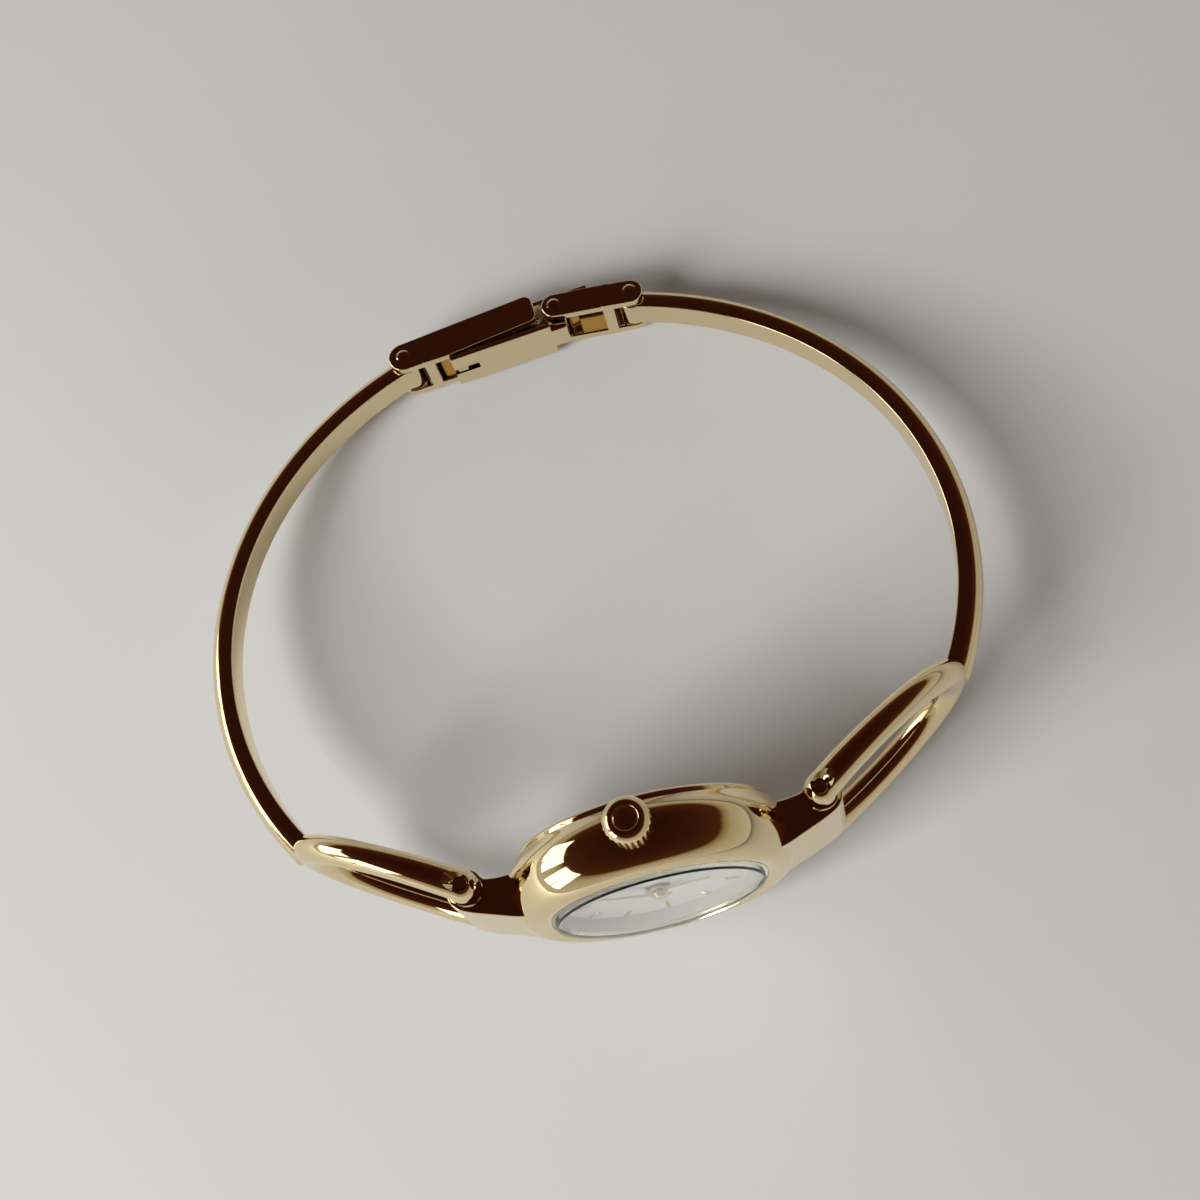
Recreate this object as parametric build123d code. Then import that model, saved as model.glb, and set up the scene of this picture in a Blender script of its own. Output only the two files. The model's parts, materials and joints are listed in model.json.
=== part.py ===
from build123d import *
import math
import os

# Bangle watch: a round watch head between two hinged stirrup links, two slim curved bars
# and a fold-over clasp. All sizes are millimetres.
# Ring frame: X from the 12 o'clock side to the 6 o'clock side, Y from the watch head to the
# clasp, Z along the axis of the bangle, with the crown up. At the end the whole watch is
# leaned about X, so that it rests on the case's lower edge and the clasp's lower edge.

# Bangle
bangle_half_width = 31.0
bangle_half_depth = 28.1
bangle_centre_y = 1.7
bar_thickness = 2.0
bar_width = 2.7
bar_edge_radius = 0.45

# Case back and its seal. Heights in the head are measured from the back's outer face
case_back_y = -17.6
back_thickness = 0.7
back_inset = 0.4
back_edge_radius = 0.3
back_boss_wall = 0.75
back_boss_height = 0.6
back_seal_width = 0.3

# Movement
movement_radius = 6.8
movement_plate_thickness = 1.2
movement_ring_width = 1.85
movement_ring_gap = 0.05
wheel_pocket_radius = 2.3
wheel_pocket_depth = 0.55
hour_wheel_radius = 2.0
hour_wheel_thickness = 0.25
hour_wheel_teeth = 20
tooth_height = 0.28
hour_pipe_radius = 0.62
cannon_radius = 0.38
cannon_foot_radius = 0.7
cannon_foot_height = 0.2
running_gap = 0.06
battery_height = 0.95
battery_rim_step = 0.6
battery_rim_height = 0.1
battery_edge_gap = 0.15
battery_post_gap = 0.15
clamp_clearance = 0.12
clamp_width = 1.1
clamp_thickness = 0.12
inner_gap = 0.08
coil_length = 5.2
coil_radius = 0.42
coil_core_radius = 0.22
coil_end_length = 0.5
coil_end_width = 1.0
coil_inset = 2.2
circuit_thickness = 0.25
circuit_width = 2.8
bridge_thickness = 0.7
bridge_width = 5.2
bridge_start = 0.2
jewel_radius = 0.35
jewel_height = 0.1
jewel_spacing = 1.5
screw_head_radius = 0.5
screw_head_height = 0.25
screw_slot_width = 0.14
screw_slot_depth = 0.12

# Dial, its ring and markers
dial_gap = 0.08
dial_thickness = 0.3
dial_hole_radius = 0.95
dial_fit = 0.15
dial_ring_height = 0.83
dial_ring_slope = 0.3
marker_count = 12
marker_length = 1.1
marker_width = 0.28
marker_height = 0.12
marker_gap = 0.4
long_marker_length = 1.6

# Hands
minute_hand_setback = 1.65
hour_hand_setback = 2.85
hand_width = 0.5
hand_tip_width = 0.16
hand_tail = 1.0
hand_thickness = 0.1
hour_hub_radius = 0.9
minute_hub_radius = 0.7
hour_hand_height = 0.2
hand_spacing = 0.2
minute_hub_cap_height = 0.2
minute_hub_cap_radius = 0.45
minutes_shown = 6.0
hours_shown = 6.0

# Glass, its ledge and its seal
ledge_thickness = 0.25
ledge_overlap = 0.5
glass_inset = 0.75
glass_thickness = 1.1
glass_dome_rise = 0.2
glass_chamfer = 0.15
glass_seal_thickness = 0.25
glass_seal_drop = 0.05

# Watch case round all of these
case_wall = 2.3
case_foot_inset = 0.7
bezel_height = 0.85
bezel_lip_drop = 0.2
bezel_crest_width = 0.85
bezel_shoulder_inset = 0.35
bezel_shoulder_drop = 1.5

# Crown
crown_radius = 1.7
crown_length = 2.6
crown_gap = 0.25
crown_pull = 0.8
crown_dome = 0.5
crown_disc_radius = 0.9
crown_disc_depth = 0.12
crown_flute_count = 24
crown_flute_radius = 0.15
crown_edge = 0.25
tube_radius = 0.75
tube_wall = 0.2
tube_depth = 2.1
stem_radius = 0.36
stem_depth = 2.2
stem_play = 0.1
crown_seal_radius = 0.14
crown_seal_start = 0.3
crown_seal_room = 0.03

# Lugs and their hinge pins
hinge_reach = 2.35
hinge_height = 1.8
lug_half_height = 3.75
lug_knuckle_radius = 1.55
lug_meet_angle = 30.0
lug_root_depth = 2.4
lug_root_height = 1.4
lug_crest_height = 5.0
lug_case_inset = 0.45
lug_waist_reach = 0.9
lug_waist_height = 1.25
lug_outer_reach = 0.65
lug_outer_height = 4.15
pin_radius = 0.45
pin_recess = 0.25
hinge_clearance = 0.05

# Stirrup links
stirrup_reach = 13.7
stirrup_half_length = 9.2
stirrup_half_width = 6.0
stirrup_rail_radius = 1.08
stirrup_bow_thickness = 1.35
bar_seat = 0.87
eye_radius = 1.2
eye_edge_radius = 0.4
side_play = 0.12

# Clasp
clasp_half_span = 9.95
clasp_width = 4.5
clasp_plate = 0.78
clasp_rise = 0.74
leaf_pivot_x = 3.48
rivet_radius = 0.42
rivet_head_radius = 0.58
rivet_head_height = 0.16
rivet_round_share = 0.9
knuckle_radius = 1.15
housing_end_radius = 1.3
housing_end_gap = 0.55
housing_corner_radius = 0.7
housing_wall = 0.5
housing_wall_start = 1.6
crossbar_start = 1.45
crossbar_length = 0.9
crossbar_thickness = 0.6
lip_reach = 3.15
lip_thickness = 0.4
lip_width = 2.3
lip_rise = 0.16
catch_start = 4.0
catch_length = 0.9
catch_width = 0.5
catch_depth = 0.35
leaf_start = 3.7
leaf_gap = 0.3
leaf_thickness = 0.55
leaf_slot_length = 1.9
leaf_slot_width = 0.75
leaf_spine_start = 6.2
leaf_spine_width = 2.4
leaf_spine_top = 0.35
leaf_neck_run = 1.1
leaf_end_setback = 0.6
link_end_radius = 1.1
link_bar_distance = 2.5
link_bar_length = 0.95
link_bar_thickness = 0.6
link_wall = 0.4
link_wall_setback = 1.6

# Cuts run past the faces that they open by this much, and angles are worked out this finely
overrun = 1.0
angle_tolerance = 1e-6

# Heights in the head, stacked from the case back towards the glass
movement_plate_base = (back_thickness + clamp_clearance + clamp_thickness + battery_rim_height
                       + battery_height)
movement_plate_top = movement_plate_base + movement_plate_thickness
pocket_base = movement_plate_top - wheel_pocket_depth
crown_axis_height = (movement_plate_base + movement_plate_top) / 2
dial_base = movement_plate_top + dial_gap
dial_top = dial_base + dial_thickness
hour_hand_base = dial_top + hour_hand_height
minute_hand_base = hour_hand_base + hand_thickness + hand_spacing
ledge_base = dial_top + dial_ring_height
glass_base = ledge_base + ledge_thickness
case_height = glass_base + bezel_height
bezel_lip_height = case_height - bezel_lip_drop

# Radii in the head, from the movement outwards
case_bore_radius = movement_radius + movement_ring_width + movement_ring_gap
case_radius = case_bore_radius + case_wall
case_foot_radius = case_radius - case_foot_inset
back_radius = case_foot_radius - back_inset
dial_radius = case_bore_radius - dial_fit
glass_radius = case_bore_radius - glass_inset
ledge_inner_radius = glass_radius - ledge_overlap
ring_foot_radius = ledge_inner_radius - dial_ring_slope
marker_outer_radius = ring_foot_radius - marker_gap
minute_hand_length = marker_outer_radius - minute_hand_setback
hour_hand_length = marker_outer_radius - hour_hand_setback
seal_bore_radius = glass_radius + glass_seal_thickness
battery_inner_reach = cannon_foot_radius + battery_post_gap
battery_radius = (movement_radius - battery_edge_gap - battery_inner_reach) / 2
battery_offset = battery_inner_reach + battery_radius
coil_offset = movement_radius - coil_inset
coil_room_width = coil_end_width + 2 * inner_gap
bridge_end = coil_offset - coil_room_width / 2
bridge_quarter = (bridge_end - bridge_start) / 4
stem_inner_radius = movement_radius - stem_depth
circuit_outer_radius = movement_radius - inner_gap

# Places that follow in the crown, the hinges and the clasp
crown_seal_groove = 2 * (crown_seal_radius + crown_seal_room)
tube_stand_out = crown_gap + crown_pull + crown_seal_start + crown_seal_groove
crown_bore_depth = tube_stand_out - crown_gap + stem_play
pin_x = case_radius + hinge_reach
pin_y = case_back_y - hinge_height
plate_half = clasp_width / 2
plate_inner = plate_half - clasp_plate
clasp_y = bangle_centre_y + (bangle_half_depth - bar_thickness / 2) * math.sqrt(
    1 - (clasp_half_span / (bangle_half_width - bar_thickness / 2)) ** 2)
leaf_pivot_y = clasp_y + clasp_rise
housing_slope = math.degrees(math.atan2(clasp_rise, clasp_half_span + leaf_pivot_x))
link_slope = math.degrees(math.atan2(-clasp_rise, clasp_half_span - leaf_pivot_x))
housing_to_leaf_pivot = math.hypot(clasp_rise, clasp_half_span + leaf_pivot_x)
housing_length = housing_to_leaf_pivot - link_end_radius - housing_end_gap
lip_end = housing_to_leaf_pivot + lip_reach
link_length = math.hypot(clasp_rise, clasp_half_span - leaf_pivot_x)

# The lean puts the case's lowest circle and the clasp's lowest rivet head on one level
rivet_reach = plate_half + rivet_head_height
rivet_flat_radius = rivet_head_radius - rivet_head_height
lean_reach = leaf_pivot_y + rivet_flat_radius - (case_back_y - crown_axis_height)
lean_angle = math.degrees(math.atan2(case_radius - rivet_reach, lean_reach))

# Head frame: dial axis up, 3 o'clock along its X, 12 o'clock along its Y
head = Location(Plane(origin=(0, case_back_y, 0), x_dir=(0, 0, 1), z_dir=(0, -1, 0)))
# Clasp frames: X along the piece from its pivot, Y outwards, Z along the bangle's axis
housing_frame = Location((-clasp_half_span, clasp_y, 0), (0, 0, housing_slope))
link_frame = Location((leaf_pivot_x, leaf_pivot_y, 0), (0, 0, link_slope))


def stirrup_angle():
    """Angle of the stirrup at which its bow takes the middle line of the curved bar."""
    reach = stirrup_reach + bar_seat
    across = bangle_half_width - bar_thickness / 2
    deep = bangle_half_depth - bar_thickness / 2
    low, high = 0, math.pi / 2
    while high - low > angle_tolerance:
        angle = (low + high) / 2
        x = pin_x + reach * math.cos(angle)
        y = pin_y + reach * math.sin(angle) - bangle_centre_y
        if (x / across) ** 2 + (y / deep) ** 2 > 1:
            low = angle
        else:
            high = angle
    return low


# Stirrup frame: X from the hinge pin to the bow, Y along the bangle's axis
stirrup_heading = (math.cos(stirrup_angle()), math.sin(stirrup_angle()), 0)
stirrup_plane = Plane(origin=(pin_x, pin_y, 0), x_dir=stirrup_heading,
                      z_dir=(stirrup_heading[1], -stirrup_heading[0], 0))
oval_centre = stirrup_reach - stirrup_half_length
eye_centre_height = stirrup_half_width * math.sqrt(1 - (oval_centre / stirrup_half_length) ** 2)
eye_top_height = eye_centre_height + stirrup_rail_radius


def disc(radius, base, top):
    """Cylinder on the head axis between two heights."""
    return Pos(0, 0, base) * extrude(Circle(radius), top - base)


def ring(outer, inner, base, top):
    """Flat ring on the head axis."""
    return Pos(0, 0, base) * extrude(Circle(outer) - Circle(inner), top - base)


def turned(outline):
    """Solid of revolution about the head axis from an outline of radius and height."""
    return revolve(Plane.XZ * outline, Axis.Z)


def bar_along(length, width, height):
    """Block that starts at the origin, runs along X and is centred on Y, with its base at 0."""
    return Pos(length / 2, 0, 0) * extrude(Rectangle(length, width), height)


def upright(radius, x, y, low, high):
    """Cylinder along the bangle's axis."""
    return Pos(x, y, low) * extrude(Circle(radius), high - low)


def case_outline():
    """Half section of the case with no bores: foot, bulging side, shoulder and bezel crest."""
    foot = (case_foot_radius, back_thickness)
    bulge = (case_radius, crown_axis_height)
    shoulder = (case_radius - bezel_shoulder_inset, case_height - bezel_shoulder_drop)
    crest = (seal_bore_radius + bezel_crest_width, case_height)
    rim = (seal_bore_radius, bezel_lip_height)
    side = Line((0, back_thickness), foot) + Spline(
        foot, bulge, shoulder, crest, rim,
        tangents=[(1, 2), (-2, -1)])
    closing = Polyline(rim, (0, bezel_lip_height), (0, back_thickness))
    return make_face(side + closing)


def make_case():
    """Mid-case and bezel in one piece, bored for the movement, glass, crown tube and back."""
    blank = turned(case_outline())
    body = blank - disc(case_bore_radius, 0, ledge_base)
    body -= disc(ledge_inner_radius, 0, case_height)
    body -= disc(seal_bore_radius, glass_base, case_height + overrun)
    body -= stem_axis_cylinder(tube_radius, ledge_inner_radius, case_radius + overrun)
    return blank, body


def stem_axis_cylinder(radius, start, end):
    """Cylinder on the crown's axis, from one distance off the head axis to another."""
    return Pos(start, 0, crown_axis_height) * Rot(0, 90, 0) * extrude(Circle(radius), end - start)


def make_back():
    """Snap-on case back: domed-edge plate with a raised ring that enters the case bore."""
    plate = disc(back_radius, 0, back_thickness)
    plate = fillet(plate.edges().sort_by(Axis.Z)[0], back_edge_radius)
    boss_radius = case_bore_radius - back_seal_width
    boss = ring(boss_radius, boss_radius - back_boss_wall, back_thickness,
                back_thickness + back_boss_height)
    return plate + boss


def make_back_seal():
    """Rubber ring between the back's raised ring and the case bore."""
    return ring(case_bore_radius, case_bore_radius - back_seal_width, back_thickness,
                back_thickness + back_boss_height)


def make_glass():
    """Slightly domed crystal with a chamfered rim."""
    top = glass_base + glass_thickness
    plate = disc(glass_radius, glass_base, top)
    plate = chamfer(plate.edges().sort_by(Axis.Z)[-1], glass_chamfer)
    flat_radius = glass_radius - glass_chamfer
    dome_radius = (flat_radius ** 2 + glass_dome_rise ** 2) / (2 * glass_dome_rise)
    ball = Pos(0, 0, top + glass_dome_rise - dome_radius) * Sphere(dome_radius)
    dome = disc(flat_radius, top, top + 2 * glass_dome_rise) & ball
    return plate + dome


def make_ring_under_glass():
    """Sloped ring that stands on the dial's edge and fills the step below the glass."""
    low, high = dial_top, ledge_base
    outline = make_face(Polyline(
        (ring_foot_radius, low), (dial_radius, low), (dial_radius, high),
        (ledge_inner_radius, high), (ring_foot_radius, low)))
    return turned(outline)


def make_markers():
    """Twelve raised bars on the dial, the ones at 12, 3, 6 and 9 longer."""
    bars = []
    for index in range(marker_count):
        length = long_marker_length if index % 3 == 0 else marker_length
        block = bar_along(length, marker_width, marker_height)
        place = Rot(0, 0, 360 * index / marker_count) * Pos(marker_outer_radius - length, 0, dial_top)
        bars.append(place * block)
    return Compound(children=bars)


def make_hand(length, hub_radius, base):
    """Thin tapered hand with a round hub, drawn along +Y, which is 12 o'clock."""
    blade = make_face(Polyline(
        (-hand_width / 2, -hand_tail), (hand_width / 2, -hand_tail),
        (hand_tip_width / 2, length), (-hand_tip_width / 2, length),
        (-hand_width / 2, -hand_tail)))
    return Pos(0, 0, base) * extrude(blade + Circle(hub_radius), hand_thickness)


def make_hour_wheel():
    """Toothed wheel under the dial with the pipe that carries the hour hand."""
    base = pocket_base + running_gap
    wheel = disc(hour_wheel_radius - tooth_height, base, base + hour_wheel_thickness)
    tooth_width = math.pi * hour_wheel_radius / hour_wheel_teeth
    tooth = bar_along(tooth_height + tooth_width / 2, tooth_width, hour_wheel_thickness)
    root = hour_wheel_radius - tooth_height - tooth_width / 2
    for index in range(hour_wheel_teeth):
        wheel += Rot(0, 0, 360 * index / hour_wheel_teeth) * Pos(root, 0, base) * tooth
    pipe = disc(hour_pipe_radius, base, hour_hand_base + hand_thickness)
    return wheel + pipe - disc(cannon_radius + running_gap, 0, case_height)


def make_cannon_pinion():
    """Post through the movement that carries the minute hand, with a foot under the plate."""
    foot_base = movement_plate_base - cannon_foot_height - running_gap
    foot = disc(cannon_foot_radius, foot_base, foot_base + cannon_foot_height)
    return foot + disc(cannon_radius, foot_base, minute_hand_base)


def make_movement_plate():
    """Main plate with the wheel pocket, the centre hole and the tunnel for the stem."""
    plate = disc(movement_radius, movement_plate_base, movement_plate_top)
    plate -= disc(wheel_pocket_radius, pocket_base, movement_plate_top + overrun)
    plate -= disc(cannon_radius + running_gap, 0, case_height)
    tunnel = stem_radius + stem_play
    return plate - stem_axis_cylinder(tunnel, stem_inner_radius - stem_play, case_radius)


def make_movement_ring():
    """Plastic holder between the movement and the case bore, with a hole for the stem."""
    outer = case_bore_radius - movement_ring_gap
    base = back_thickness + back_boss_height
    body = ring(outer, movement_radius, base, dial_base)
    return body - stem_axis_cylinder(stem_radius + stem_play, 0, case_radius)


def make_battery():
    """Button cell with its raised inner can, beside the centre."""
    top = movement_plate_base
    cell = disc(battery_radius, top - battery_height, top)
    cell += disc(battery_radius - battery_rim_step, top - battery_height - battery_rim_height,
                 top - battery_height)
    return Pos(-battery_offset, 0, 0) * cell


def make_coil():
    """Wound coil on its core between two square ends, across the 3 o'clock side."""
    top = movement_plate_base
    axis_height = top - coil_end_width / 2
    along = Pos(coil_offset, -coil_length / 2, axis_height) * Rot(-90, 0, 0)
    winding = along * Pos(0, 0, coil_end_length) * extrude(
        Circle(coil_radius), coil_length - 2 * coil_end_length)
    core = along * extrude(Circle(coil_core_radius), coil_length)
    block = extrude(Rectangle(coil_end_width, coil_end_width), coil_end_length)
    ends = along * block + along * Pos(0, 0, coil_length - coil_end_length) * block
    return winding + core + ends


def make_circuit():
    """Thin crescent circuit board round the edge of the plate, away from the cell."""
    top = movement_plate_base
    board = ring(circuit_outer_radius, circuit_outer_radius - circuit_width,
                 top - circuit_thickness, top)
    cell_room = Pos(-battery_offset, 0, 0) * disc(battery_radius + inner_gap, 0, case_height)
    coil_room = Pos(coil_offset, 0, 0) * extrude(
        Rectangle(coil_room_width, coil_length + 2 * inner_gap), case_height)
    return board - cell_room - coil_room


def make_bridge():
    """Train bridge between the cell and the coil, with a recess over the centre post's foot."""
    top = movement_plate_base
    block = Pos(bridge_start, 0, top - bridge_thickness) * bar_along(
        bridge_end - bridge_start, bridge_width, bridge_thickness)
    block = fillet(block.edges().filter_by(Axis.Z), bridge_thickness / 2)
    foot_room = cannon_foot_height + 2 * running_gap
    block -= disc(cannon_foot_radius + running_gap, top - foot_room, top + overrun)
    board_reach = circuit_outer_radius - circuit_width - inner_gap
    return block - ring(movement_radius, board_reach, top - circuit_thickness, top)


def make_battery_clamp():
    """Spring strip across the cell."""
    top = movement_plate_base - battery_height - battery_rim_height
    strip = Rectangle(clamp_width, 2 * battery_radius)
    return Pos(-battery_offset, 0, top - clamp_thickness) * extrude(strip, clamp_thickness)


def make_jewels():
    """Bearing jewels set on the train bridge."""
    base = movement_plate_base - bridge_thickness - jewel_height
    stones = [Pos(bridge_start + bridge_quarter, step * jewel_spacing, 0)
              * disc(jewel_radius, base, base + jewel_height) for step in (-1, 0, 1)]
    return Compound(children=stones)


def make_screws():
    """Two slotted bridge screws."""
    base = movement_plate_base - bridge_thickness - screw_head_height
    head_shape = disc(screw_head_radius, base, base + screw_head_height)
    slot = Pos(-screw_head_radius, 0, base) * bar_along(
        2 * screw_head_radius, screw_slot_width, screw_slot_depth)
    x = bridge_end - bridge_quarter
    y = bridge_width / 2 - 2 * screw_head_radius
    return Compound(children=[Pos(x, side * y, 0) * (head_shape - slot) for side in (-1, 1)])


def crown_frame():
    """Crown frame: Z outwards along the stem, zero where the pushed-in crown starts."""
    return Pos(case_radius + crown_gap, 0, crown_axis_height) * Rot(0, 90, 0)


def make_crown():
    """Fluted crown with a domed end and a plain recessed disc, bored for its tube."""
    side_top = crown_length - crown_dome
    outline = make_face(
        Polyline((0, 0), (crown_radius - crown_edge, 0), (crown_radius, crown_edge),
                 (crown_radius, side_top))
        + ThreePointArc((crown_radius, side_top),
                        ((crown_radius + crown_disc_radius) / 2, crown_length - crown_dome / 4),
                        (crown_disc_radius, crown_length))
        + Polyline((crown_disc_radius, crown_length),
                   (crown_disc_radius - crown_disc_depth, crown_length - crown_disc_depth),
                   (0, crown_length - crown_disc_depth), (0, 0)))
    body = turned(outline)
    bore = tube_radius + running_gap
    body -= disc(bore, 0, crown_bore_depth)
    body -= disc(bore + crown_seal_groove, crown_seal_start, crown_seal_start + crown_seal_groove)
    flute = Pos(crown_radius + crown_flute_radius / 2, 0, 0) * disc(
        crown_flute_radius, crown_edge / 2, side_top + crown_dome / 2)
    for index in range(crown_flute_count):
        body -= Rot(0, 0, 360 * index / crown_flute_count) * flute
    return body


def make_crown_seal():
    """Rubber ring in the crown's groove, round the tube."""
    middle = tube_radius + running_gap + crown_seal_radius
    height = crown_seal_start + crown_seal_groove / 2
    return Pos(0, 0, height) * Torus(middle, crown_seal_radius)


def make_crown_tube():
    """Tube pressed into the case wall, on which the crown slides."""
    start = case_radius - tube_depth
    end = case_radius + tube_stand_out
    return (stem_axis_cylinder(tube_radius, start, end)
            - stem_axis_cylinder(tube_radius - tube_wall, 0, 2 * case_radius))


def make_stem():
    """Stem from the crown's inner face, through the tube, into the movement."""
    end = case_radius + crown_gap + crown_bore_depth
    return stem_axis_cylinder(stem_radius, stem_inner_radius, end)


def make_lug(case_blank):
    """Lug with a round knuckle at the hinge pin, a waist, and a root shaped to the case."""
    step_x = lug_knuckle_radius * math.sin(math.radians(lug_meet_angle))
    step_y = lug_knuckle_radius * math.cos(math.radians(lug_meet_angle))
    heading = (math.cos(math.radians(lug_meet_angle)), math.sin(math.radians(lug_meet_angle)))
    inner_touch = (pin_x - step_x, pin_y + step_y)
    outer_touch = (pin_x + step_x, pin_y - step_y)
    root_x = case_radius - lug_root_depth
    root_inner = (root_x, case_back_y - lug_root_height)
    root_outer = (root_x, case_back_y - lug_crest_height)
    case_side = (case_radius - lug_case_inset, case_back_y - lug_root_height)
    waist = (case_radius + lug_waist_reach, case_back_y - lug_waist_height)
    outer_side = (case_radius + lug_outer_reach, case_back_y - lug_outer_height)
    outline = make_face(
        Polyline(root_outer, root_inner, case_side)
        + Spline(case_side, waist, inner_touch, tangents=[(1, 0), heading])
        + ThreePointArc(inner_touch, (pin_x + lug_knuckle_radius, pin_y), outer_touch)
        + Spline(outer_touch, outer_side, root_outer,
                 tangents=[(-heading[0], -heading[1]), (-1, 0)]))
    body = Pos(0, 0, -lug_half_height) * extrude(outline, 2 * lug_half_height)
    body -= upright(pin_radius, pin_x, pin_y, -lug_half_height - overrun, lug_half_height + overrun)
    return body - case_blank


def stirrup_path():
    """Half of the stirrup's oval centre line, from the tip of the bow to above the pin."""
    turn = math.degrees(math.atan2(eye_centre_height / stirrup_half_width,
                                   -oval_centre / stirrup_half_length))
    return EllipticalCenterArc((oval_centre, 0), stirrup_half_length, stirrup_half_width,
                               arc_size=turn)


def make_stirrup():
    """Horseshoe link: round rails that swell towards the bow, and eyes for the hinge pin."""
    path = stirrup_plane * stirrup_path()
    bow_frame = Plane(origin=path @ 0, x_dir=stirrup_plane.z_dir, z_dir=path % 0)
    pin_frame = Plane(origin=path @ 1, x_dir=stirrup_plane.z_dir, z_dir=path % 1)
    rail = sweep([bow_frame * Ellipse(stirrup_rail_radius, stirrup_bow_thickness),
                  pin_frame * Circle(stirrup_rail_radius)], path, multisection=True)
    low = lug_half_height + side_play
    eye = upright(eye_radius, pin_x, pin_y, low, eye_top_height)
    eye = fillet(eye.edges().sort_by(Axis.Z)[-1], eye_edge_radius)
    half = rail + eye
    half -= upright(lug_knuckle_radius + side_play, pin_x, pin_y, -overrun, low)
    body = half + mirror(half, about=Plane.XY)
    return body - upright(pin_radius + hinge_clearance, pin_x, pin_y, -2 * eye_top_height,
                          2 * eye_top_height)


def make_hinge_pin():
    """Plain pin through the stirrup's eyes and the lug, a little below the eyes' faces."""
    reach = eye_top_height - pin_recess
    return upright(pin_radius, pin_x, pin_y, -reach, reach)


def make_bar(stirrup):
    """Curved bar from the stirrup's bow to the clasp, with a round knuckle at its free end."""
    outer = Ellipse(bangle_half_width, bangle_half_depth)
    inner = Ellipse(bangle_half_width - bar_thickness, bangle_half_depth - bar_thickness)
    seat = stirrup_plane.from_local_coords(Vector(stirrup_reach, 0, 0))
    window_height = bangle_half_depth + bangle_centre_y - seat.Y + overrun
    window_width = bangle_half_width - clasp_half_span + overrun
    window = Pos(clasp_half_span + window_width / 2, seat.Y + window_height / 2) * Rectangle(
        window_width, window_height)
    strip = (Pos(0, bangle_centre_y) * (outer - inner)) & window
    body = Pos(0, 0, -bar_width / 2) * extrude(strip, bar_width)
    rims = body.edges().filter_by(GeomType.LINE, reverse=True)
    body = fillet(rims, bar_edge_radius)
    knuckle = upright(knuckle_radius, clasp_half_span, clasp_y, -bar_width / 2, bar_width / 2)
    body = body + knuckle - upright(rivet_radius + hinge_clearance, clasp_half_span, clasp_y,
                                    -clasp_width, clasp_width)
    body -= stirrup
    return max(body.solids(), key=lambda solid: solid.volume)


def side_plates(outline):
    """The two matching side plates of a clasp piece, from one outline."""
    plate = extrude(outline, clasp_plate)
    return Pos(0, 0, plate_inner) * plate + Pos(0, 0, -plate_half) * plate


def block_between(x_start, x_end, y_low, y_high, width):
    """Block centred on the bangle's axis direction between two X and two Y values."""
    return Pos((x_start + x_end) / 2, (y_low + y_high) / 2, -width / 2) * extrude(
        Rectangle(x_end - x_start, y_high - y_low), width)


def make_housing():
    """Clasp housing: rounded side plates, outer wall, crossbar, thumb lip and catch."""
    radius = housing_end_radius
    outline = Circle(radius) + Pos(housing_length / 2, 0) * Rectangle(housing_length, 2 * radius)
    outline = fillet(outline.vertices().sort_by(Axis.X)[-2:], housing_corner_radius)
    body = side_plates(outline)
    body += block_between(housing_wall_start, housing_length - housing_corner_radius,
                          radius - housing_wall, radius, clasp_width)
    body += block_between(crossbar_start, crossbar_start + crossbar_length,
                          -radius, crossbar_thickness - radius, clasp_width)
    lip_base = link_end_radius + lip_rise
    body += block_between(housing_length - 2 * housing_corner_radius, lip_end, lip_base,
                          lip_base + lip_thickness, lip_width)
    body += block_between(catch_start, catch_start + catch_length,
                          -radius - leaf_gap - catch_depth, radius - housing_wall / 2, catch_width)
    body -= upright(rivet_radius, 0, 0, -clasp_width, clasp_width)
    return housing_frame * body


def make_leaf():
    """Long leaf under the housing, slotted for the catch, with a neck and eye at its pivot."""
    top = -housing_end_radius - leaf_gap
    base = top - leaf_thickness
    pivot = housing_to_leaf_pivot
    body = block_between(leaf_start, pivot - leaf_end_setback, base, top, clasp_width)
    body -= block_between(leaf_start - overrun, leaf_start + leaf_slot_length, base - overrun,
                          top + overrun, leaf_slot_width)
    body += block_between(leaf_spine_start, pivot, base, top + leaf_spine_top,
                          leaf_spine_width)
    half_eye = link_end_radius / 2
    neck = make_face(Polyline(
        (housing_length - leaf_neck_run, base), (pivot + half_eye, base),
        (pivot + half_eye, 0), (pivot - half_eye, half_eye),
        (housing_length - leaf_neck_run, base)))
    neck_body = Pos(0, 0, -leaf_spine_width / 2) * extrude(neck, leaf_spine_width)
    eye = upright(link_end_radius - hinge_clearance, pivot, 0, -leaf_spine_width / 2,
                  leaf_spine_width / 2)
    body = body + neck_body + eye
    body -= upright(rivet_radius + hinge_clearance, pivot, 0, -clasp_width, clasp_width)
    return housing_frame * body


def make_link():
    """Short link: rounded side plates, outer wall and a crossbar near the band's knuckle."""
    radius = link_end_radius
    outline = Circle(radius) + Pos(link_length, 0) * Circle(radius) + Pos(
        link_length / 2, 0) * Rectangle(link_length, 2 * radius)
    body = side_plates(outline)
    body += block_between(link_wall_setback, link_length - link_wall_setback,
                          radius - link_wall, radius, clasp_width)
    bar_end = link_length - link_bar_distance + link_bar_length
    body += block_between(bar_end - link_bar_length, bar_end, -radius,
                          link_bar_thickness - radius, clasp_width)
    for x in (0, link_length):
        body -= upright(rivet_radius, x, 0, -clasp_width, clasp_width)
    return link_frame * body


def make_rivet():
    """Rivet through both side plates with a low domed head on each side."""
    shank = upright(rivet_radius, 0, 0, -plate_half, plate_half)
    cap = upright(rivet_head_radius, 0, 0, plate_half, plate_half + rivet_head_height)
    cap = fillet(cap.edges().sort_by(Axis.Z)[-1], rivet_head_height * rivet_round_share)
    return shank + cap + mirror(cap, about=Plane.XY)


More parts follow.
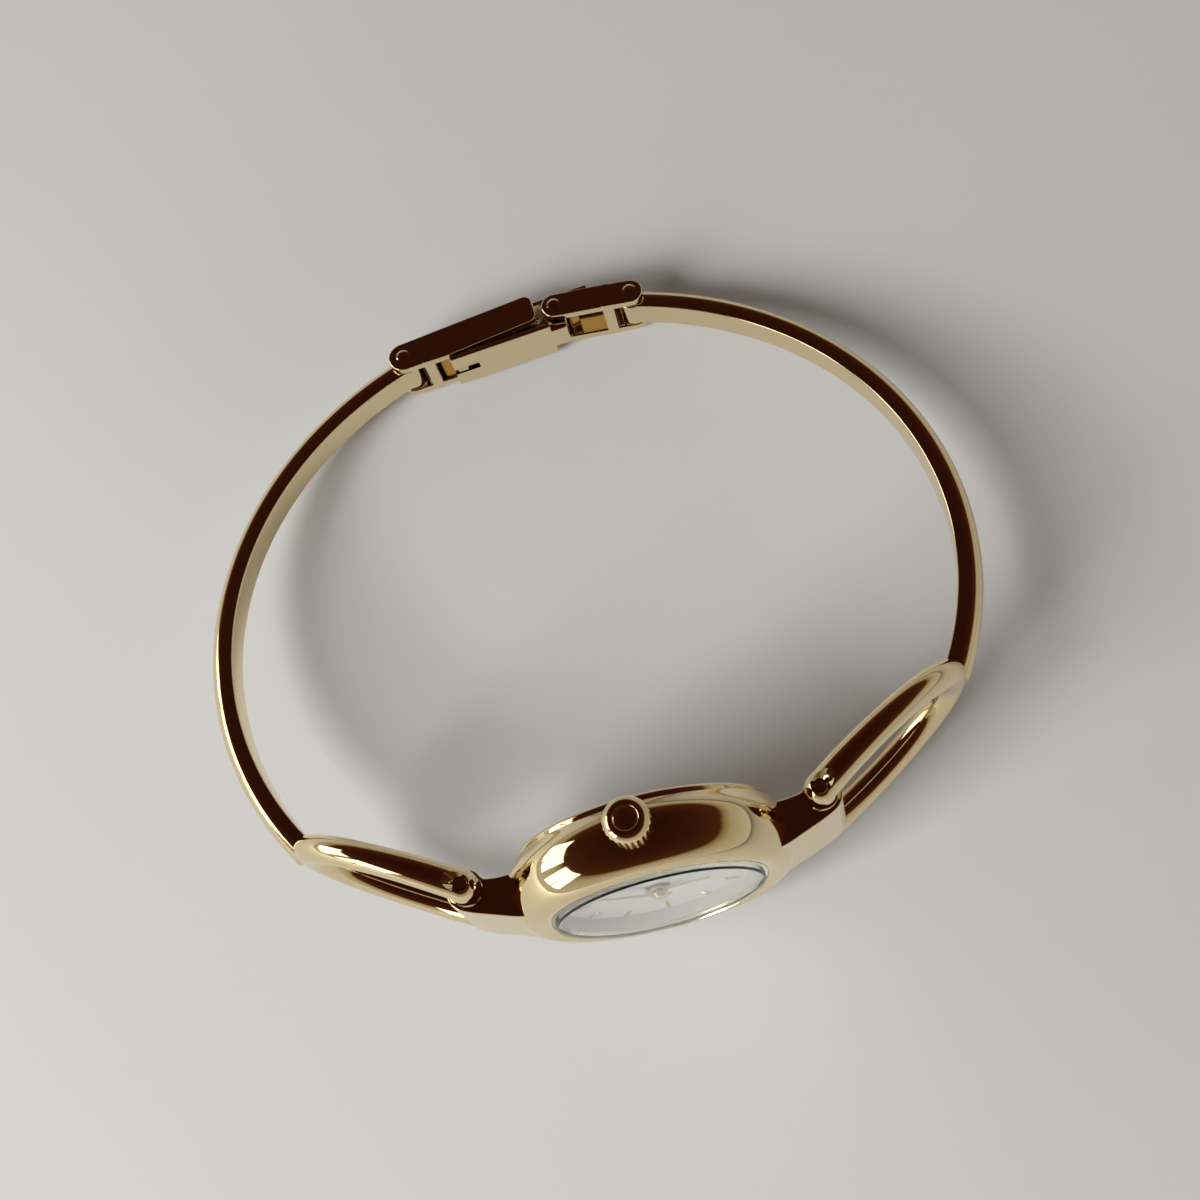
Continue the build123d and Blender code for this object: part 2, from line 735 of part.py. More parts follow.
def build_head():
    """Pieces of the watch head, in the head frame."""
    blank, case = make_case()
    parts = {
        "case_middle": case,
        "case_back": make_back(),
        "case_back_gasket": make_back_seal(),
        "crystal": make_glass(),
        "crystal_gasket": ring(seal_bore_radius, glass_radius, glass_base,
                               bezel_lip_height - glass_seal_drop),
        "dial_ring": make_ring_under_glass(),
        "dial": ring(dial_radius, dial_hole_radius, dial_base, dial_top),
        "dial_markers": make_markers(),
        "movement_plate": make_movement_plate(),
        "movement_ring": make_movement_ring(),
        "battery": make_battery(),
        "battery_clamp": make_battery_clamp(),
        "coil": make_coil(),
        "circuit_board": make_circuit(),
        "train_bridge": make_bridge(),
        "bearing_jewels": make_jewels(),
        "bridge_screws": make_screws(),
        "crown_tube": make_crown_tube(),
        "crown": crown_frame() * make_crown(),
        "crown_gasket": crown_frame() * make_crown_seal(),
        "winding_stem": make_stem(),
        "hour_wheel": make_hour_wheel(),
        "cannon_pinion": make_cannon_pinion(),
    }
    hour_angle = -(hours_shown + minutes_shown / 60) * 360 / 12
    minute_angle = -minutes_shown * 360 / 60
    hour_hand = make_hand(hour_hand_length, hour_hub_radius, hour_hand_base)
    parts["hour_hand"] = Rot(0, 0, hour_angle) * (
        hour_hand - disc(hour_pipe_radius, 0, case_height))
    cap = disc(minute_hub_cap_radius, minute_hand_base + hand_thickness,
               minute_hand_base + hand_thickness + minute_hub_cap_height)
    parts["minute_hand"] = Rot(0, 0, minute_angle) * (
        make_hand(minute_hand_length, minute_hub_radius, minute_hand_base) + cap)
    return blank, {name: head * shape for name, shape in parts.items()}


def build_band(case_blank):
    """Lugs, pins, stirrups, bars and the clasp, in the ring frame."""
    lug = make_lug(head * case_blank)
    stirrup = make_stirrup()
    bar = make_bar(stirrup)
    pin = make_hinge_pin()
    parts = {
        "right_lug": lug,
        "right_stirrup": stirrup,
        "right_bar": bar,
        "right_hinge_pin": pin,
    }
    for name in list(parts):
        parts[name.replace("right", "left")] = mirror(parts[name], about=Plane.YZ)
    parts["clasp_housing"] = make_housing()
    parts["clasp_leaf"] = make_leaf()
    parts["clasp_link"] = make_link()
    parts["housing_rivet"] = Pos(-clasp_half_span, clasp_y, 0) * make_rivet()
    parts["leaf_rivet"] = Pos(leaf_pivot_x, leaf_pivot_y, 0) * make_rivet()
    parts["link_rivet"] = Pos(clasp_half_span, clasp_y, 0) * make_rivet()
    return parts


case_blank, head_parts = build_head()
pieces = {**head_parts, **build_band(case_blank)}

# Lean the watch, then put the middle of its footprint at the origin and its lowest point at zero
lean = Location((0, 0, 0), (-lean_angle, 0, 0))
leaned = {name: lean * shape for name, shape in pieces.items()}
boxes = [shape.bounding_box() for shape in leaned.values()]
lowest = min(box.min.Z for box in boxes)
middle_y = (min(box.min.Y for box in boxes) + max(box.max.Y for box in boxes)) / 2
middle_x = (min(box.min.X for box in boxes) + max(box.max.X for box in boxes)) / 2
settle = Location((-middle_x, -middle_y, -lowest))

os.makedirs("parts", exist_ok=True)
for name, shape in leaned.items():
    export_step(settle * shape, "parts/" + name + ".step")


def report_place(name, place):
    """Print where a point of the ring frame ends up, for the record of the joints."""
    spot = (settle * lean * Pos(*place)).position
    print("place", name, round(spot.X, 4), round(spot.Y, 4), round(spot.Z, 4))


print("lean", round(lean_angle, 5))
report_place("right_pin", (pin_x, pin_y, 0))
report_place("left_pin", (-pin_x, pin_y, 0))
report_place("housing_pivot", (-clasp_half_span, clasp_y, 0))
report_place("leaf_pivot", (leaf_pivot_x, leaf_pivot_y, 0))
report_place("link_pivot", (clasp_half_span, clasp_y, 0))
report_place("crown_axis", (0, case_back_y - crown_axis_height, case_radius))
report_place("hand_axis", (0, case_back_y - dial_top, 0))
report_place("back_face", (0, case_back_y, 0))
report_place("wrist_centre", (0, bangle_centre_y, 0))
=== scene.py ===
"""Polished pieces, finishes and studio of a slim bangle watch.

Shapes are drawn in millimetres, each in the frame that suits it, and placed in metres.
Ring frame: X from 12 o'clock to 6 o'clock, Y from the watch head to the clasp, Z along the
axis of the bangle, with the crown up. Head frame: X to 3 o'clock, Y to 12, Z out of the dial.
"""

import json
import math

import bmesh
import bpy
from mathutils import Euler, Matrix, Vector
from mathutils.geometry import interpolate_bezier


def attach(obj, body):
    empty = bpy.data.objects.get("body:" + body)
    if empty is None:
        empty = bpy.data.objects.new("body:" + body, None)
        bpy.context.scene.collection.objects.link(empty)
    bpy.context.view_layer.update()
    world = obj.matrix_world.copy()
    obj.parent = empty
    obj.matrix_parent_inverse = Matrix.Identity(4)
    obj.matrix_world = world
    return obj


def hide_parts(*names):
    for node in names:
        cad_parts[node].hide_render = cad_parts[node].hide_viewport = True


bl_info = {
    "name": "Bangle Watch",
    "version": (1, 0, 0),
    "blender": (4, 5, 0),
    "location": "3D View > Sidebar > Bangle Watch",
    "description": "Builds the polished pieces, finishes and studio of a slim bangle watch",
    "category": "Add Mesh",
}

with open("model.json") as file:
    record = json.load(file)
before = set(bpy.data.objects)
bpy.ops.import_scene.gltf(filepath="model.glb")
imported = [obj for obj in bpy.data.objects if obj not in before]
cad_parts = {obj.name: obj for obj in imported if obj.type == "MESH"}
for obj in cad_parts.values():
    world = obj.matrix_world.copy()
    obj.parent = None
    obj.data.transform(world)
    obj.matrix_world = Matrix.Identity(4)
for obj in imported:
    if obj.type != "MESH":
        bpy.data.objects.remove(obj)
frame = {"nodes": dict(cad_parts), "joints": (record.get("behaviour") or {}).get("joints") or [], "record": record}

JOINTS = {joint["name"]: joint for joint in frame["joints"]}
# The case back's place along Y in the ring frame, whose origin is inside the band
CASE_BACK_Y = -17.6
UP = Vector(JOINTS["left_arm_swing"]["axis"])
OUT = Vector(frame["record"]["mounts"][0]["axis"])
BACK_FACE = Vector(frame["record"]["mounts"][0]["pos_m"])

TURN = Matrix((Vector((1, 0, 0)), OUT, UP)).transposed().to_4x4()
RING = (Matrix.Translation(BACK_FACE - OUT * CASE_BACK_Y / 1000) @ TURN
        @ Matrix.Scale(0.001, 4))
HEAD = RING @ Matrix.Translation((0, CASE_BACK_Y, 0)) @ Matrix(
    ((0, -1, 0, 0), (0, 0, -1, 0), (1, 0, 0, 0), (0, 0, 0, 1)))
MIRROR_X = Matrix.Diagonal((-1, 1, 1, 1))


def pivot(joint):
    """A joint's place in the ring frame, in millimetres, on the plane through the band's middle."""
    place = RING.inverted() @ Vector(JOINTS[joint]["pos_m"])
    return Vector((place.x, place.y, 0))


PIN = pivot("right_arm_swing")
HOUSING_PIVOT = pivot("housing_fold")
LEAF_PIVOT = pivot("leaf_fold")
LINK_PIVOT = pivot("link_fold")


def clasp_place(start, end):
    """Frame of a clasp piece: X from one pivot to the next, Y outwards, Z along the bangle."""
    along = end - start
    return RING @ Matrix.Translation(start) @ Matrix.Rotation(math.atan2(along.y, along.x), 4, "Z")


HOUSING = clasp_place(HOUSING_PIVOT, LEAF_PIVOT)
LINK = clasp_place(LEAF_PIVOT, LINK_PIVOT)
LEAF_REACH = (LEAF_PIVOT - HOUSING_PIVOT).length
LINK_REACH = (LINK_PIVOT - LEAF_PIVOT).length


def spots_of(node, place):
    """A CAD node's points, in a frame."""
    back = place.inverted()
    return [back @ vert.co for vert in frame["nodes"][node].data.vertices]


def measured(node, place):
    """A CAD node's lowest and highest point, and its least and greatest radius, in a frame."""
    spots = spots_of(node, place)
    heights = [spot.z for spot in spots]
    radii = [math.hypot(spot.x, spot.y) for spot in spots]
    return min(heights), max(heights), min(radii), max(radii)


def reach_of(node, place):
    """The point of a CAD node that lies farthest from a frame's Z axis."""
    return max(spots_of(node, place), key=lambda spot: math.hypot(spot.x, spot.y))


# Both sides of the watch, and whether their pieces are mirrored
SIDES = (("right", False), ("left", True))

# Play of pieces that fit into each other, and how far inner blocks stay below a face they join
PLAY = 0.01
INSET = 0.01
# Edge rounding of the lugs and of the clasp's side plates
POLISHED_EDGE = 0.18
# Cuts reach this far, past both faces of every piece
THROUGH = (-5, 5)

# Head, in millimetres from the case back. A pair is a radius and a height.
BACK_THICKNESS, CASE_HEIGHT, LEDGE_RADIUS, CASE_RADIUS = measured("case_middle", HEAD)
BOSS_TOP, BACK_RADIUS = measured("case_back", HEAD)[1::2]
GLASS_BASE, SEAL_TOP, GLASS_RADIUS, SEAL_BORE = measured("crystal_gasket", HEAD)
GLASS_TOP = measured("crystal", HEAD)[1]
DIAL_BASE, DIAL_TOP, DIAL_HOLE, DIAL_RADIUS = measured("dial", HEAD)
RING_TOP, RING_FOOT = measured("dial_ring", HEAD)[1:3]
CASE_BORE = 8.7
FOOT_RADIUS = 10.3
WIDEST_HEIGHT = 2.45
SHOULDER = (10.78, 3.75)
CREST_RADIUS = 9.05
BEZEL_EDGE = 5.3
BOSS_OUTER = 8.4
BOSS_INNER = 7.65
BACK_RIM = 0.3
GLASS_CHAMFER = 0.15
GLASS_DOME = 0.2
SEAL_EDGE = 0.05
RING_EDGE = 0.06

# Markers and hands
MARKER_REACH = 6.75
MARKER_LENGTH = 1.1
QUARTER_LENGTH = 1.6
MARKER_HALF = 0.14
MARKER_HEIGHT = 0.12
HAND_TAIL = 1.0
HAND_HALF = 0.25
HAND_TIP_HALF = 0.08
HAND_THICKNESS = 0.1
STAMPED_EDGE = 0.03
POST_RADIUS = 0.45

# Crown, with Z outwards along the stem from the middle of the head
STEM = HEAD @ Matrix.Translation((0, 0, (HEAD.inverted() @ Vector(
    JOINTS["crown_turn"]["pos_m"])).z)) @ Matrix.Rotation(math.pi / 2, 4, "Y")
CROWN_BASE, CROWN_END = measured("crown", STEM)[:2]
CROWN_BORE = measured("crown_tube", STEM)[3] + PLAY
CROWN_BORE_DEPTH = 1.54
CROWN_CHAMFER = 0.25
FLUTES = 24
FLUTE_DEPTH = 0.08
FLUTES_END = 0.62

# Hinges between the lugs and the stirrup links
AT_PIN = RING @ Matrix.Translation(PIN)
PIN_TOP, PIN_RADIUS = measured("right_hinge_pin", AT_PIN)[1::2]
LUG_HALF = measured("right_lug", AT_PIN)[1]
LUG_LEAN = 30
LUG_ROOT = 9.3
LUG_FACE = -19.0
LUG_BACK = -22.45
KNUCKLE = 1.55
PIN_EDGE = 0.12
SIDE_PLAY = 0.12
HINGE_CLEARANCE = 0.05
EYE_RADIUS = 1.2
EYE_RIM = 0.1
COUNTERSINK = 0.18

# Stirrup links: the rail follows an oval, whose X runs from the pin to the bow
STIRRUP_TIP = reach_of("right_stirrup", AT_PIN)
STIRRUP_ANGLE = math.atan2(STIRRUP_TIP.y, STIRRUP_TIP.x)
OVAL_CENTRE = 4.5
OVAL_HALF_LENGTH = 9.2
OVAL_HALF_WIDTH = 6.0
# The rail swells over this last share of its run, and stays this much inside the eye's skin
SWELL_START = 0.6
SWELL_INSET = 0.04

# Clasp, with all heights from the line between its rivets
PLATE = 0.78
PLATE_HALF = 2.25
BRIDGE = 0.6
ROOF_START = 1.6
HOUSING_END = 1.3
HOUSING_CORNER = 0.7
HOUSING_BEND = 3.6
HOUSING_LENGTH = LEAF_REACH - 1.65
HOUSING_RISE = 0.55
ROOF = 0.5
TONGUE_HALF = 1.15
TONGUE_REACH = 3.15
TONGUE_GAP = 0.16
TONGUE_THICKNESS = 0.4
CATCH_START, CATCH_END = 4.0, 4.9
CATCH_HALF = 0.25
CATCH_DEPTH = 0.35
LEAF_GAP = 0.08
LEAF_THICKNESS = 0.42
LEAF_HALF = 2.0
LEAF_START = 3.7
LEAF_END = 0.85
NECK_HALF = 1.2
NECK_REACH = 0.55
SLOT_START, SLOT_END = 3.0, 5.9
SLOT_HALF = 0.375
LINK_END = 1.1
LINK_ROOF = 0.4
RIVET_TOP, RIVET_HEAD = measured("leaf_rivet", RING @ Matrix.Translation(LEAF_PIVOT))[1::2]
RIVET_RADIUS = 0.42
RIVET_BORE = 0.47

# Band. The bars start this far past the bow's tip, in radians.
BAR_START = 0.03
BAR_CREST = 1.15
BAR_CORNER = 0.22
BAR_KNUCKLE = 1.15
BAR_KNUCKLE_EDGE = 0.2
BAND_HALF_WIDTH = 31.0
BAND_HALF_DEPTH = 28.1
BAND_CENTRE_Y = 1.7


def linear(code):
    """A colour from its sRGB hex code, as the linear values that shaders read."""
    values = [int(code[i:i + 2], 16) / 255 for i in (1, 3, 5)]
    return tuple(v / 12.92 if v <= 0.04045 else ((v + 0.055) / 1.055) ** 2.4
                 for v in values) + (1.0,)


def add_node(tree, kind, sockets=None, **settings):
    """Adds a node with its settings. Each socket gets a value, or a link from an output."""
    made = tree.nodes.new(kind)
    for name, value in settings.items():
        setattr(made, name, value)
    for name, value in (sockets or {}).items():
        if isinstance(value, bpy.types.NodeSocket):
            tree.links.new(value, made.inputs[name])
        else:
            made.inputs[name].default_value = value
    return made


def finish_tree(name):
    """A new material and its empty node tree."""
    material = bpy.data.materials.new(name)
    material.use_nodes = True
    material.node_tree.nodes.clear()
    return material, material.node_tree


def close_tree(tree, shader):
    """Links a shader's output to the surface."""
    add_node(tree, "ShaderNodeOutputMaterial", {"Surface": shader.outputs[0]})


def grain(tree, per_mm, stretch=(1, 1, 1), detail=3.0):
    """Noise over Object coordinates, so many grains to the millimetre, stretched along an axis."""
    spots = add_node(tree, "ShaderNodeTexCoord")
    turned = add_node(tree, "ShaderNodeMapping",
                      {"Vector": spots.outputs["Object"], "Scale": stretch})
    return add_node(tree, "ShaderNodeTexNoise",
                    {"Vector": turned.outputs[0], "Scale": per_mm * 1000, "Detail": detail})


def spread(tree, source, low, high):
    """Maps a pattern, which mostly lies between 0.3 and 0.7, onto a narrow range."""
    return add_node(tree, "ShaderNodeMapRange",
                    {"Value": source.outputs[0], "From Min": 0.3, "From Max": 0.7,
                     "To Min": low, "To Max": high})


def gold_plated_steel(colour):
    """Gold plate, a few micrometres over polished steel: mirror bright, with the wide soft
    unevenness of hand polishing and faint hairlines from wear."""
    material, tree = finish_tree("gold_plated_steel_polished")
    waves = grain(tree, 0.35, detail=2.0)
    # Real hairlines are far finer, and these are coarse enough to show
    hairlines = grain(tree, 3.0, stretch=(0.15, 1, 1), detail=5.0)
    rough = spread(tree, hairlines, 0.03, 0.08)
    # Polishing waves are about 3 mm long and a few micrometres deep
    bump = add_node(tree, "ShaderNodeBump",
                    {"Height": waves.outputs[0], "Strength": 0.06, "Distance": 0.0002})
    shader = add_node(tree, "ShaderNodeBsdfPrincipled",
                      {"Base Color": tuple(colour), "Metallic": 1.0,
                       "Roughness": rough.outputs[0], "Normal": bump.outputs[0]})
    close_tree(tree, shader)
    return material


def turned_metal(name, colour, low, high, per_mm):
    """Metal turned, drawn or stamped, with a fine even grain that scatters its highlights. The
    grain is coarser than the real one, so that it shows."""
    material, tree = finish_tree(name)
    marks = grain(tree, per_mm, stretch=(1, 1, 0.2))
    rough = spread(tree, marks, low, high)
    bump = add_node(tree, "ShaderNodeBump",
                    {"Height": marks.outputs[0], "Strength": 0.1, "Distance": 0.00002})
    shader = add_node(tree, "ShaderNodeBsdfPrincipled",
                      {"Base Color": tuple(colour), "Metallic": 1.0,
                       "Roughness": rough.outputs[0], "Normal": bump.outputs[0]})
    close_tree(tree, shader)
    return material


def plain_finish(name, dark, light, rough, per_mm, ior=1.5):
    """Moulded, lacquered or painted surface: a slight mottling of its colour over a fine grain."""
    material, tree = finish_tree(name)
    marks = grain(tree, per_mm)
    shades = add_node(tree, "ShaderNodeValToRGB", {"Fac": marks.outputs[0]})
    shades.color_ramp.elements[0].color = linear(dark)
    shades.color_ramp.elements[1].color = linear(light)
    bump = add_node(tree, "ShaderNodeBump",
                    {"Height": marks.outputs[0], "Strength": 0.15, "Distance": 0.00002})
    shader = add_node(tree, "ShaderNodeBsdfPrincipled",
                      {"Base Color": shades.outputs[0], "Roughness": rough, "IOR": ior,
                       "Normal": bump.outputs[0]})
    close_tree(tree, shader)
    return material


def silvered_dial(colour):
    """Brass dial, silvered, brushed from the centre and lacquered: satin grey, faint rays."""
    material, tree = finish_tree("silvered_brass_sunray")
    spots = add_node(tree, "ShaderNodeTexCoord")
    centre = HEAD @ Vector((0, 0, DIAL_TOP))
    across = HEAD.to_3x3().normalized().inverted().to_euler()
    moved = add_node(tree, "ShaderNodeMapping",
                     {"Vector": spots.outputs["Object"], "Location": -centre},
                     vector_type="POINT")
    turned = add_node(tree, "ShaderNodeMapping",
                      {"Vector": moved.outputs[0], "Rotation": across})
    rays = add_node(tree, "ShaderNodeTexGradient", {"Vector": turned.outputs[0]},
                    gradient_type="RADIAL")
    # About 700 brush marks round the dial, coarser than real ones so that they show
    marks = add_node(tree, "ShaderNodeTexNoise",
                     {"W": rays.outputs["Fac"], "Scale": 700.0, "Detail": 2.0},
                     noise_dimensions="1D")
    rough = spread(tree, marks, 0.55, 0.7)
    shader = add_node(tree, "ShaderNodeBsdfPrincipled",
                      {"Base Color": tuple(colour), "Roughness": rough.outputs[0]})
    close_tree(tree, shader)
    return material


def mineral_crystal():
    """Mineral glass, ground and polished clear, with the faintest smears of handling. Lamp light
    passes straight through it to the dial."""
    material, tree = finish_tree("mineral_glass_polished")
    smears = grain(tree, 0.2, detail=4.0)
    rough = spread(tree, smears, 0.0, 0.02)
    glass = add_node(tree, "ShaderNodeBsdfPrincipled",
                     {"Base Color": linear("#FAFCFB"), "Roughness": rough.outputs[0],
                      "IOR": 1.52, "Transmission Weight": 1.0})
    clear = add_node(tree, "ShaderNodeBsdfTransparent", {"Color": linear("#F4F6F5")})
    path = add_node(tree, "ShaderNodeLightPath")
    shader = add_node(tree, "ShaderNodeMixShader",
                      {0: path.outputs["Is Shadow Ray"], 1: glass.outputs[0],
                       2: clear.outputs[0]})
    close_tree(tree, shader)
    return material


FINISHES = {}


def make_finishes(colours):
    """All finishes of the watch, kept by the record's slot names."""
    FINISHES.update({
        "gold_plate": gold_plated_steel(colours.gold),
        # Gilt hands and markers are stamped from brass, gilded and left a little softer
        "gilt": turned_metal("gilt_brass_stamped", colours.gilt, 0.14, 0.22, 6.0),
        "crystal": mineral_crystal(),
        # Nylon seal, moulded: dull warm grey
        "grey_gasket": plain_finish("nylon_seal_moulded", "#A39E93", "#B0AB9F", 0.5, 2.0),
        # Nitrile rubber, moulded: nearly black and dull
        "black_rubber": plain_finish("nitrile_rubber_moulded", "#141414", "#1E1E1D", 0.6, 3.0),
        "dial_silver": silvered_dial(colours.dial),
        # Brass ring, painted and baked: satin beige grey
        "ring_grey": plain_finish("painted_brass_satin", "#827D73", "#8C877C", 0.5, 2.0),
        # Nickel plate over grained brass: warm grey with soft highlights
        "nickel_plate": turned_metal("nickel_plated_brass_grained", linear("#B9B6AE"),
                                     0.25, 0.38, 5.0),
        # Brass, cut and left bare: yellow with a soft shine
        "movement_brass": turned_metal("wheel_brass_cut", linear("#C29A4B"), 0.2, 0.3, 6.0),
        # Acetal holder, moulded: milky white
        "white_plastic": plain_finish("acetal_moulded", "#D8D8D3", "#E0E0DB", 0.45, 1.5, 1.48),
        # Nickelled steel cup of the cell, drawn: plain grey with a soft shine
        "cell_steel": turned_metal("nickel_steel_drawn", linear("#B4B4B4"), 0.22, 0.32, 4.0),
        # Spring steel, rolled: a darker plain grey
        "spring_steel": turned_metal("spring_steel_rolled", linear("#9E9E9E"), 0.2, 0.3, 5.0),
        # Steel screws, polished and blued by heat: dark blue with clear highlights
        "blued_steel": turned_metal("screw_steel_blued", linear("#2A3A6B"), 0.18, 0.26, 6.0),
        # Synthetic ruby, polished: deep red and glossy
        "ruby": plain_finish("synthetic_ruby_polished", "#8E0E22", "#A51630", 0.08, 1.0, 1.76),
        # Glass-fibre board under green solder lacquer
        "board": plain_finish("fibre_board_lacquered", "#0F4726", "#155A31", 0.3, 3.0),
        # Enamelled copper wire, wound: orange brown, and the softest shine of the metals
        "copper": turned_metal("copper_wire_enamelled", linear("#B4622F"), 0.25, 0.4, 8.0),
    })


def outline(points, rounds=(), closed=True):
    """A wire through points of the XY plane. rounds lists (index, radius) of corners to round."""
    shape = bmesh.new()
    verts = [shape.verts.new((x, y, 0)) for x, y in points]
    pairs = list(zip(verts, verts[1:])) + ([(verts[-1], verts[0])] if closed else [])
    for first, second in pairs:
        shape.edges.new((first, second))
    for index, radius in rounds:
        bmesh.ops.bevel(shape, geom=[verts[index]], offset=radius, segments=10, profile=0.5,
                        affect="VERTICES", material=-1)
    bmesh.ops.remove_doubles(shape, verts=shape.verts, dist=1e-4)
    return shape


def turned_shape(points, rounds=(), closed=True, steps=192):
    """Solid of revolution about Z from a profile of radius and height."""
    shape = outline(points, rounds, closed)
    bmesh.ops.rotate(shape, verts=shape.verts, cent=(0, 0, 0),
                     matrix=Matrix.Rotation(math.pi / 2, 3, "X"))
    bmesh.ops.spin(shape, geom=shape.verts[:] + shape.edges[:], cent=(0, 0, 0), axis=(0, 0, 1),
                   angle=2 * math.pi, steps=steps, use_merge=True)
    bmesh.ops.remove_doubles(shape, verts=shape.verts, dist=1e-4)
    bmesh.ops.recalc_face_normals(shape, faces=shape.faces)
    return shape


def slab(points, low, high, rounds=(), edge=0.0):
    """Plate of an outline between two heights, with its rims rounded."""
    shape = outline(points, rounds)
    bmesh.ops.edgeloop_fill(shape, edges=shape.edges[:])
    grown = bmesh.ops.extrude_face_region(shape, geom=shape.faces[:])
    moved = [v for v in grown["geom"] if isinstance(v, bmesh.types.BMVert)]
    bmesh.ops.translate(shape, verts=shape.verts, vec=(0, 0, low))
    bmesh.ops.translate(shape, verts=moved, vec=(0, 0, high - low))
    bmesh.ops.recalc_face_normals(shape, faces=shape.faces)
    if edge:
        soften(shape, edge)
    return shape


def soften(shape, radius, angle=50.0):
    """Rounds every edge that is sharper than an angle."""
    sharp = [e for e in shape.edges if len(e.link_faces) == 2
             and e.calc_face_angle() > math.radians(angle)]
    bmesh.ops.bevel(shape, geom=sharp, offset=radius, segments=4, profile=0.5,
                    affect="EDGES", material=-1)


def block(x, y, z, edge=0.08):
    """Box between two values on each axis, with rounded edges."""
    shape = bmesh.new()
    bmesh.ops.create_cube(shape, size=1.0)
    bmesh.ops.scale(shape, verts=shape.verts, vec=(x[1] - x[0], y[1] - y[0], z[1] - z[0]))
    bmesh.ops.translate(shape, verts=shape.verts,
                        vec=((x[0] + x[1]) / 2, (y[0] + y[1]) / 2, (z[0] + z[1]) / 2))
    if edge:
        soften(shape, edge)
    return shape


def post(radius, x, y, low, high, edge=0.0, steps=64):
    """Upright cylinder, with rounded rims."""
    rims = [(1, edge), (2, edge)] if edge else ()
    shape = turned_shape([(0, low), (radius, low), (radius, high), (0, high)], rims,
                         closed=False, steps=steps)
    bmesh.ops.translate(shape, verts=shape.verts, vec=(x, y, 0))
    return shape


def drawn(section, stations):
    """Solid that a closed wire leaves behind as it passes through a list of places."""
    shape = section
    last = stations[0]
    bmesh.ops.transform(shape, matrix=last, verts=shape.verts)
    rim = shape.edges[:]
    first = rim
    for place in stations[1:]:
        grown = bmesh.ops.extrude_edge_only(shape, edges=rim)
        verts = [g for g in grown["geom"] if isinstance(g, bmesh.types.BMVert)]
        bmesh.ops.transform(shape, matrix=place @ last.inverted(), verts=verts)
        rim = [g for g in grown["geom"] if isinstance(g, bmesh.types.BMEdge)
               and all(v in verts for v in g.verts)]
        last = place
    for end in (first, rim):
        bmesh.ops.edgeloop_fill(shape, edges=end)
    bmesh.ops.recalc_face_normals(shape, faces=shape.faces)
    return shape


def round_wire(steps=40):
    """Closed circle of radius 1 in the XY plane."""
    shape = bmesh.new()
    bmesh.ops.create_circle(shape, cap_ends=False, radius=1.0, segments=steps)
    return shape


def to_mesh(shape, name):
    """Frees a bmesh into a mesh."""
    mesh = bpy.data.meshes.new(name)
    shape.to_mesh(mesh)
    shape.free()
    return mesh


def united(shapes, cuts=()):
    """One closed skin round overlapping closed shapes, less the cuts."""
    helpers = []
    for index, shape in enumerate([*shapes, *cuts]):
        helper = bpy.data.objects.new("helper", to_mesh(shape, "helper"))
        bpy.context.scene.collection.objects.link(helper)
        helpers.append(helper)
        if index:
            step = helpers[0].modifiers.new("join", "BOOLEAN")
            step.operation = "UNION" if index < len(shapes) else "DIFFERENCE"
            step.solver = "EXACT"
            step.object = helper
    bpy.context.view_layer.update()
    solved = helpers[0].evaluated_get(bpy.context.evaluated_depsgraph_get())
    result = bmesh.new()
    result.from_mesh(solved.to_mesh())
    solved.to_mesh_clear()
    for helper in helpers:
        mesh = helper.data
        bpy.data.objects.remove(helper)
        bpy.data.meshes.remove(mesh)
    bmesh.ops.remove_doubles(result, verts=result.verts, dist=1e-5)
    if not result.faces:
        raise RuntimeError("the joined shape came out empty")
    return result


def mirrored(shape):
    """The same shape on the other side of the ring frame's YZ plane."""
    bmesh.ops.transform(shape, matrix=MIRROR_X, verts=shape.verts)
    bmesh.ops.reverse_faces(shape, faces=shape.faces)
    return shape


def add_piece(name, shape, place, body, node, slot, flat=False):
    """Places a shape, dresses it, seats it on its body and lets it stand for its CAD node."""
    bmesh.ops.transform(shape, matrix=place, verts=shape.verts)
    mesh = to_mesh(shape, name)
    mesh.shade_smooth()
    mesh.set_sharp_from_angle(angle=math.radians(38))
    mesh.materials.append(FINISHES[slot])
    piece = bpy.data.objects.new(name, mesh)
    bpy.context.scene.collection.objects.link(piece)
    if flat:
        even = piece.modifiers.new("even_shading", "WEIGHTED_NORMAL")
        even.keep_sharp = True
    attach(piece, body)
    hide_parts(node)
    return piece


def arc(x, y, radius, start, end, steps=14):
    """Points along an arc between two angles, in degrees."""
    turns = [math.radians(start + (end - start) * i / steps) for i in range(steps + 1)]
    return [(x + radius * math.cos(turn), y + radius * math.sin(turn)) for turn in turns]


def curve_points(knots, steps=24):
    """Points along Bezier curves. Each knot is (point, handle before, handle after)."""
    points = []
    for (start, _, leave), (end, arrive, _) in zip(knots, knots[1:]):
        run = interpolate_bezier(Vector((*start, 0)), Vector((*start, 0)) + Vector((*leave, 0)),
                                 Vector((*end, 0)) + Vector((*arrive, 0)), Vector((*end, 0)),
                                 steps)
        points += [tuple(p)[:2] for p in run[(1 if points else 0):]]
    return points


def band_point(angle, inset):
    """Point of the band's middle line and its direction, at an angle of the ellipse."""
    a, b = BAND_HALF_WIDTH - inset, BAND_HALF_DEPTH - inset
    spot = Vector((a * math.cos(angle), BAND_CENTRE_Y + b * math.sin(angle), 0))
    heading = Vector((-a * math.sin(angle), b * math.cos(angle), 0)).normalized()
    return spot, heading


